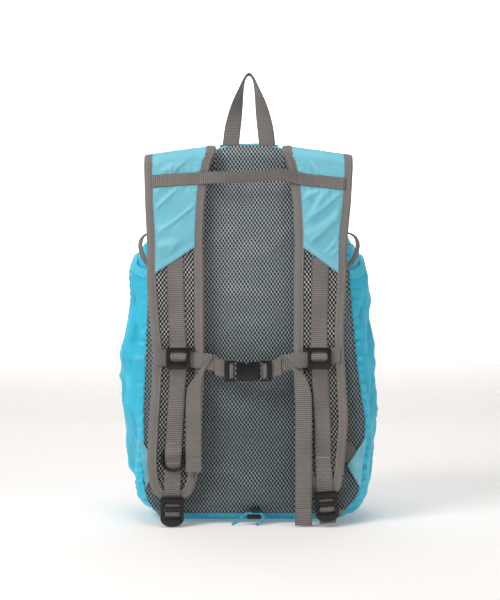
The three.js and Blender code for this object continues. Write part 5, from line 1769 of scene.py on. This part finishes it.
def build_drawcord():
    line, length = even(catmull(CORD_ROUTE, 12), 0.6)
    tangent = unit(np.gradient(line, axis=0))
    side = unit(np.cross(tangent, (0, 1, 0)))
    up = np.cross(side, tangent)
    around = 14
    rings = []
    uv = []
    for k in range(around):
        a = 2 * math.pi * k / around
        rings.append(line + (side * math.cos(a) + up * math.sin(a)) * CORD_THICKNESS / 2)
        uv.append(np.stack([np.full(len(line), k / around * 0.0033), length * MM], 1))
    grid = np.stack(rings, 1)
    points = np.concatenate([grid.reshape(-1, 3), [line[0], line[-1]]])
    count = len(line)
    faces = tube_faces(count, around)
    for j in range(around):
        k = (j + 1) % around
        faces.append([k, j, len(points) - 2])
        faces.append([(count - 1) * around + j, (count - 1) * around + k, len(points) - 1])
    uv = np.concatenate([np.stack(uv, 1).reshape(-1, 2), [(0, 0), (0, length[-1] * MM)]])
    made = piece("drawcord_braid", points, outward(points, faces), cord_cloth, uv)
    settle(made, "cord_blue", "drawcord")


# Room
def build_room():
    s = Shader("floor_paper")
    mottle = s.grain(s.place(), 3.0, 2.0)
    tone = s.blend(s.step(mottle, 0.2, 0.8) * 0.15, rgb(240, 236, 233), rgb(236, 232, 229))
    spot = s.node("ShaderNodeSeparateXYZ", {}, [s.place()])
    high = Value(s, spot.socket.node.outputs[2])
    # painted light: the paper glows by its own emission, weakly on the floor and strongly up the wall behind
    # the bag, fading to the sides; it keeps the paper white and also lights the bag
    share = s.step(2.0 - abs(spot), 0.0, 1.15) * s.step(high, 0.0, 0.35) * 0.8 + 0.14
    paper = s.finish(tone, 0.85, Emission_Strength=1.0)
    shader = s.tree.nodes["Principled BSDF"]
    s.feed(shader.inputs["Emission Color"], s.blend(share, (0, 0, 0, 1), (1, 1, 1, 1)))
    profile = [(-2.6, 0.0), (1.2, 0.0)]
    profile += [(1.2 + 0.5 * math.sin(a), 0.5 - 0.5 * math.cos(a))
                for a in np.linspace(0, math.pi / 2, 16)[1:]]
    profile += [(1.7, 3.4)]
    mesh = bpy.data.meshes.new("backdrop")
    points = [(x, y, z) for y, z in profile for x in (-3.0, 3.0)]
    faces = [(2 * k, 2 * k + 1, 2 * k + 3, 2 * k + 2) for k in range(len(profile) - 1)]
    mesh.from_pydata(points, [], faces)
    mesh.materials.append(paper)
    mesh.shade_smooth()
    put_in_scene("backdrop", mesh)
    world = bpy.data.worlds.new("studio")
    world.use_nodes = True
    sky = world.node_tree.nodes["Background"]
    sky.inputs["Color"].default_value = (1, 1, 1, 1)
    sky.inputs["Strength"].default_value = 0.17
    bpy.context.scene.world = world
    lamps = [("key", (-1.2, -1.35, 1.5), 27, 0.8), ("fill", (1.7, -1.3, 0.7), 7, 1.0),
             ("top", (0.0, -0.5, 1.9), 11, 0.7)]
    for name, place, power, size in lamps:
        data = bpy.data.lights.new(name, "AREA")
        data.energy = power
        data.size = size
        lamp = put_in_scene(name, data)
        lamp.location = place
        lamp.rotation_euler = (Vector((0, 0, 0.25)) - Vector(place)).to_track_quat("-Z", "Y").to_euler()
    bpy.context.scene.view_settings.view_transform = "Standard"


build_drawcord()
build_walls()
build_zip()
build_back()
build_front()
build_pockets()
for shoulder in STRAPS:
    build_pad(shoulder)
    build_binding(shoulder)
    build_patch(shoulder)
    build_strap_web(shoulder)
    build_adjuster(shoulder)
    build_chest_web(shoulder)
    build_chest_return(shoulder)
    build_tail(shoulder)
build_yoke_web()
build_haul_loop()
build_hips()
build_hardware()
build_room()
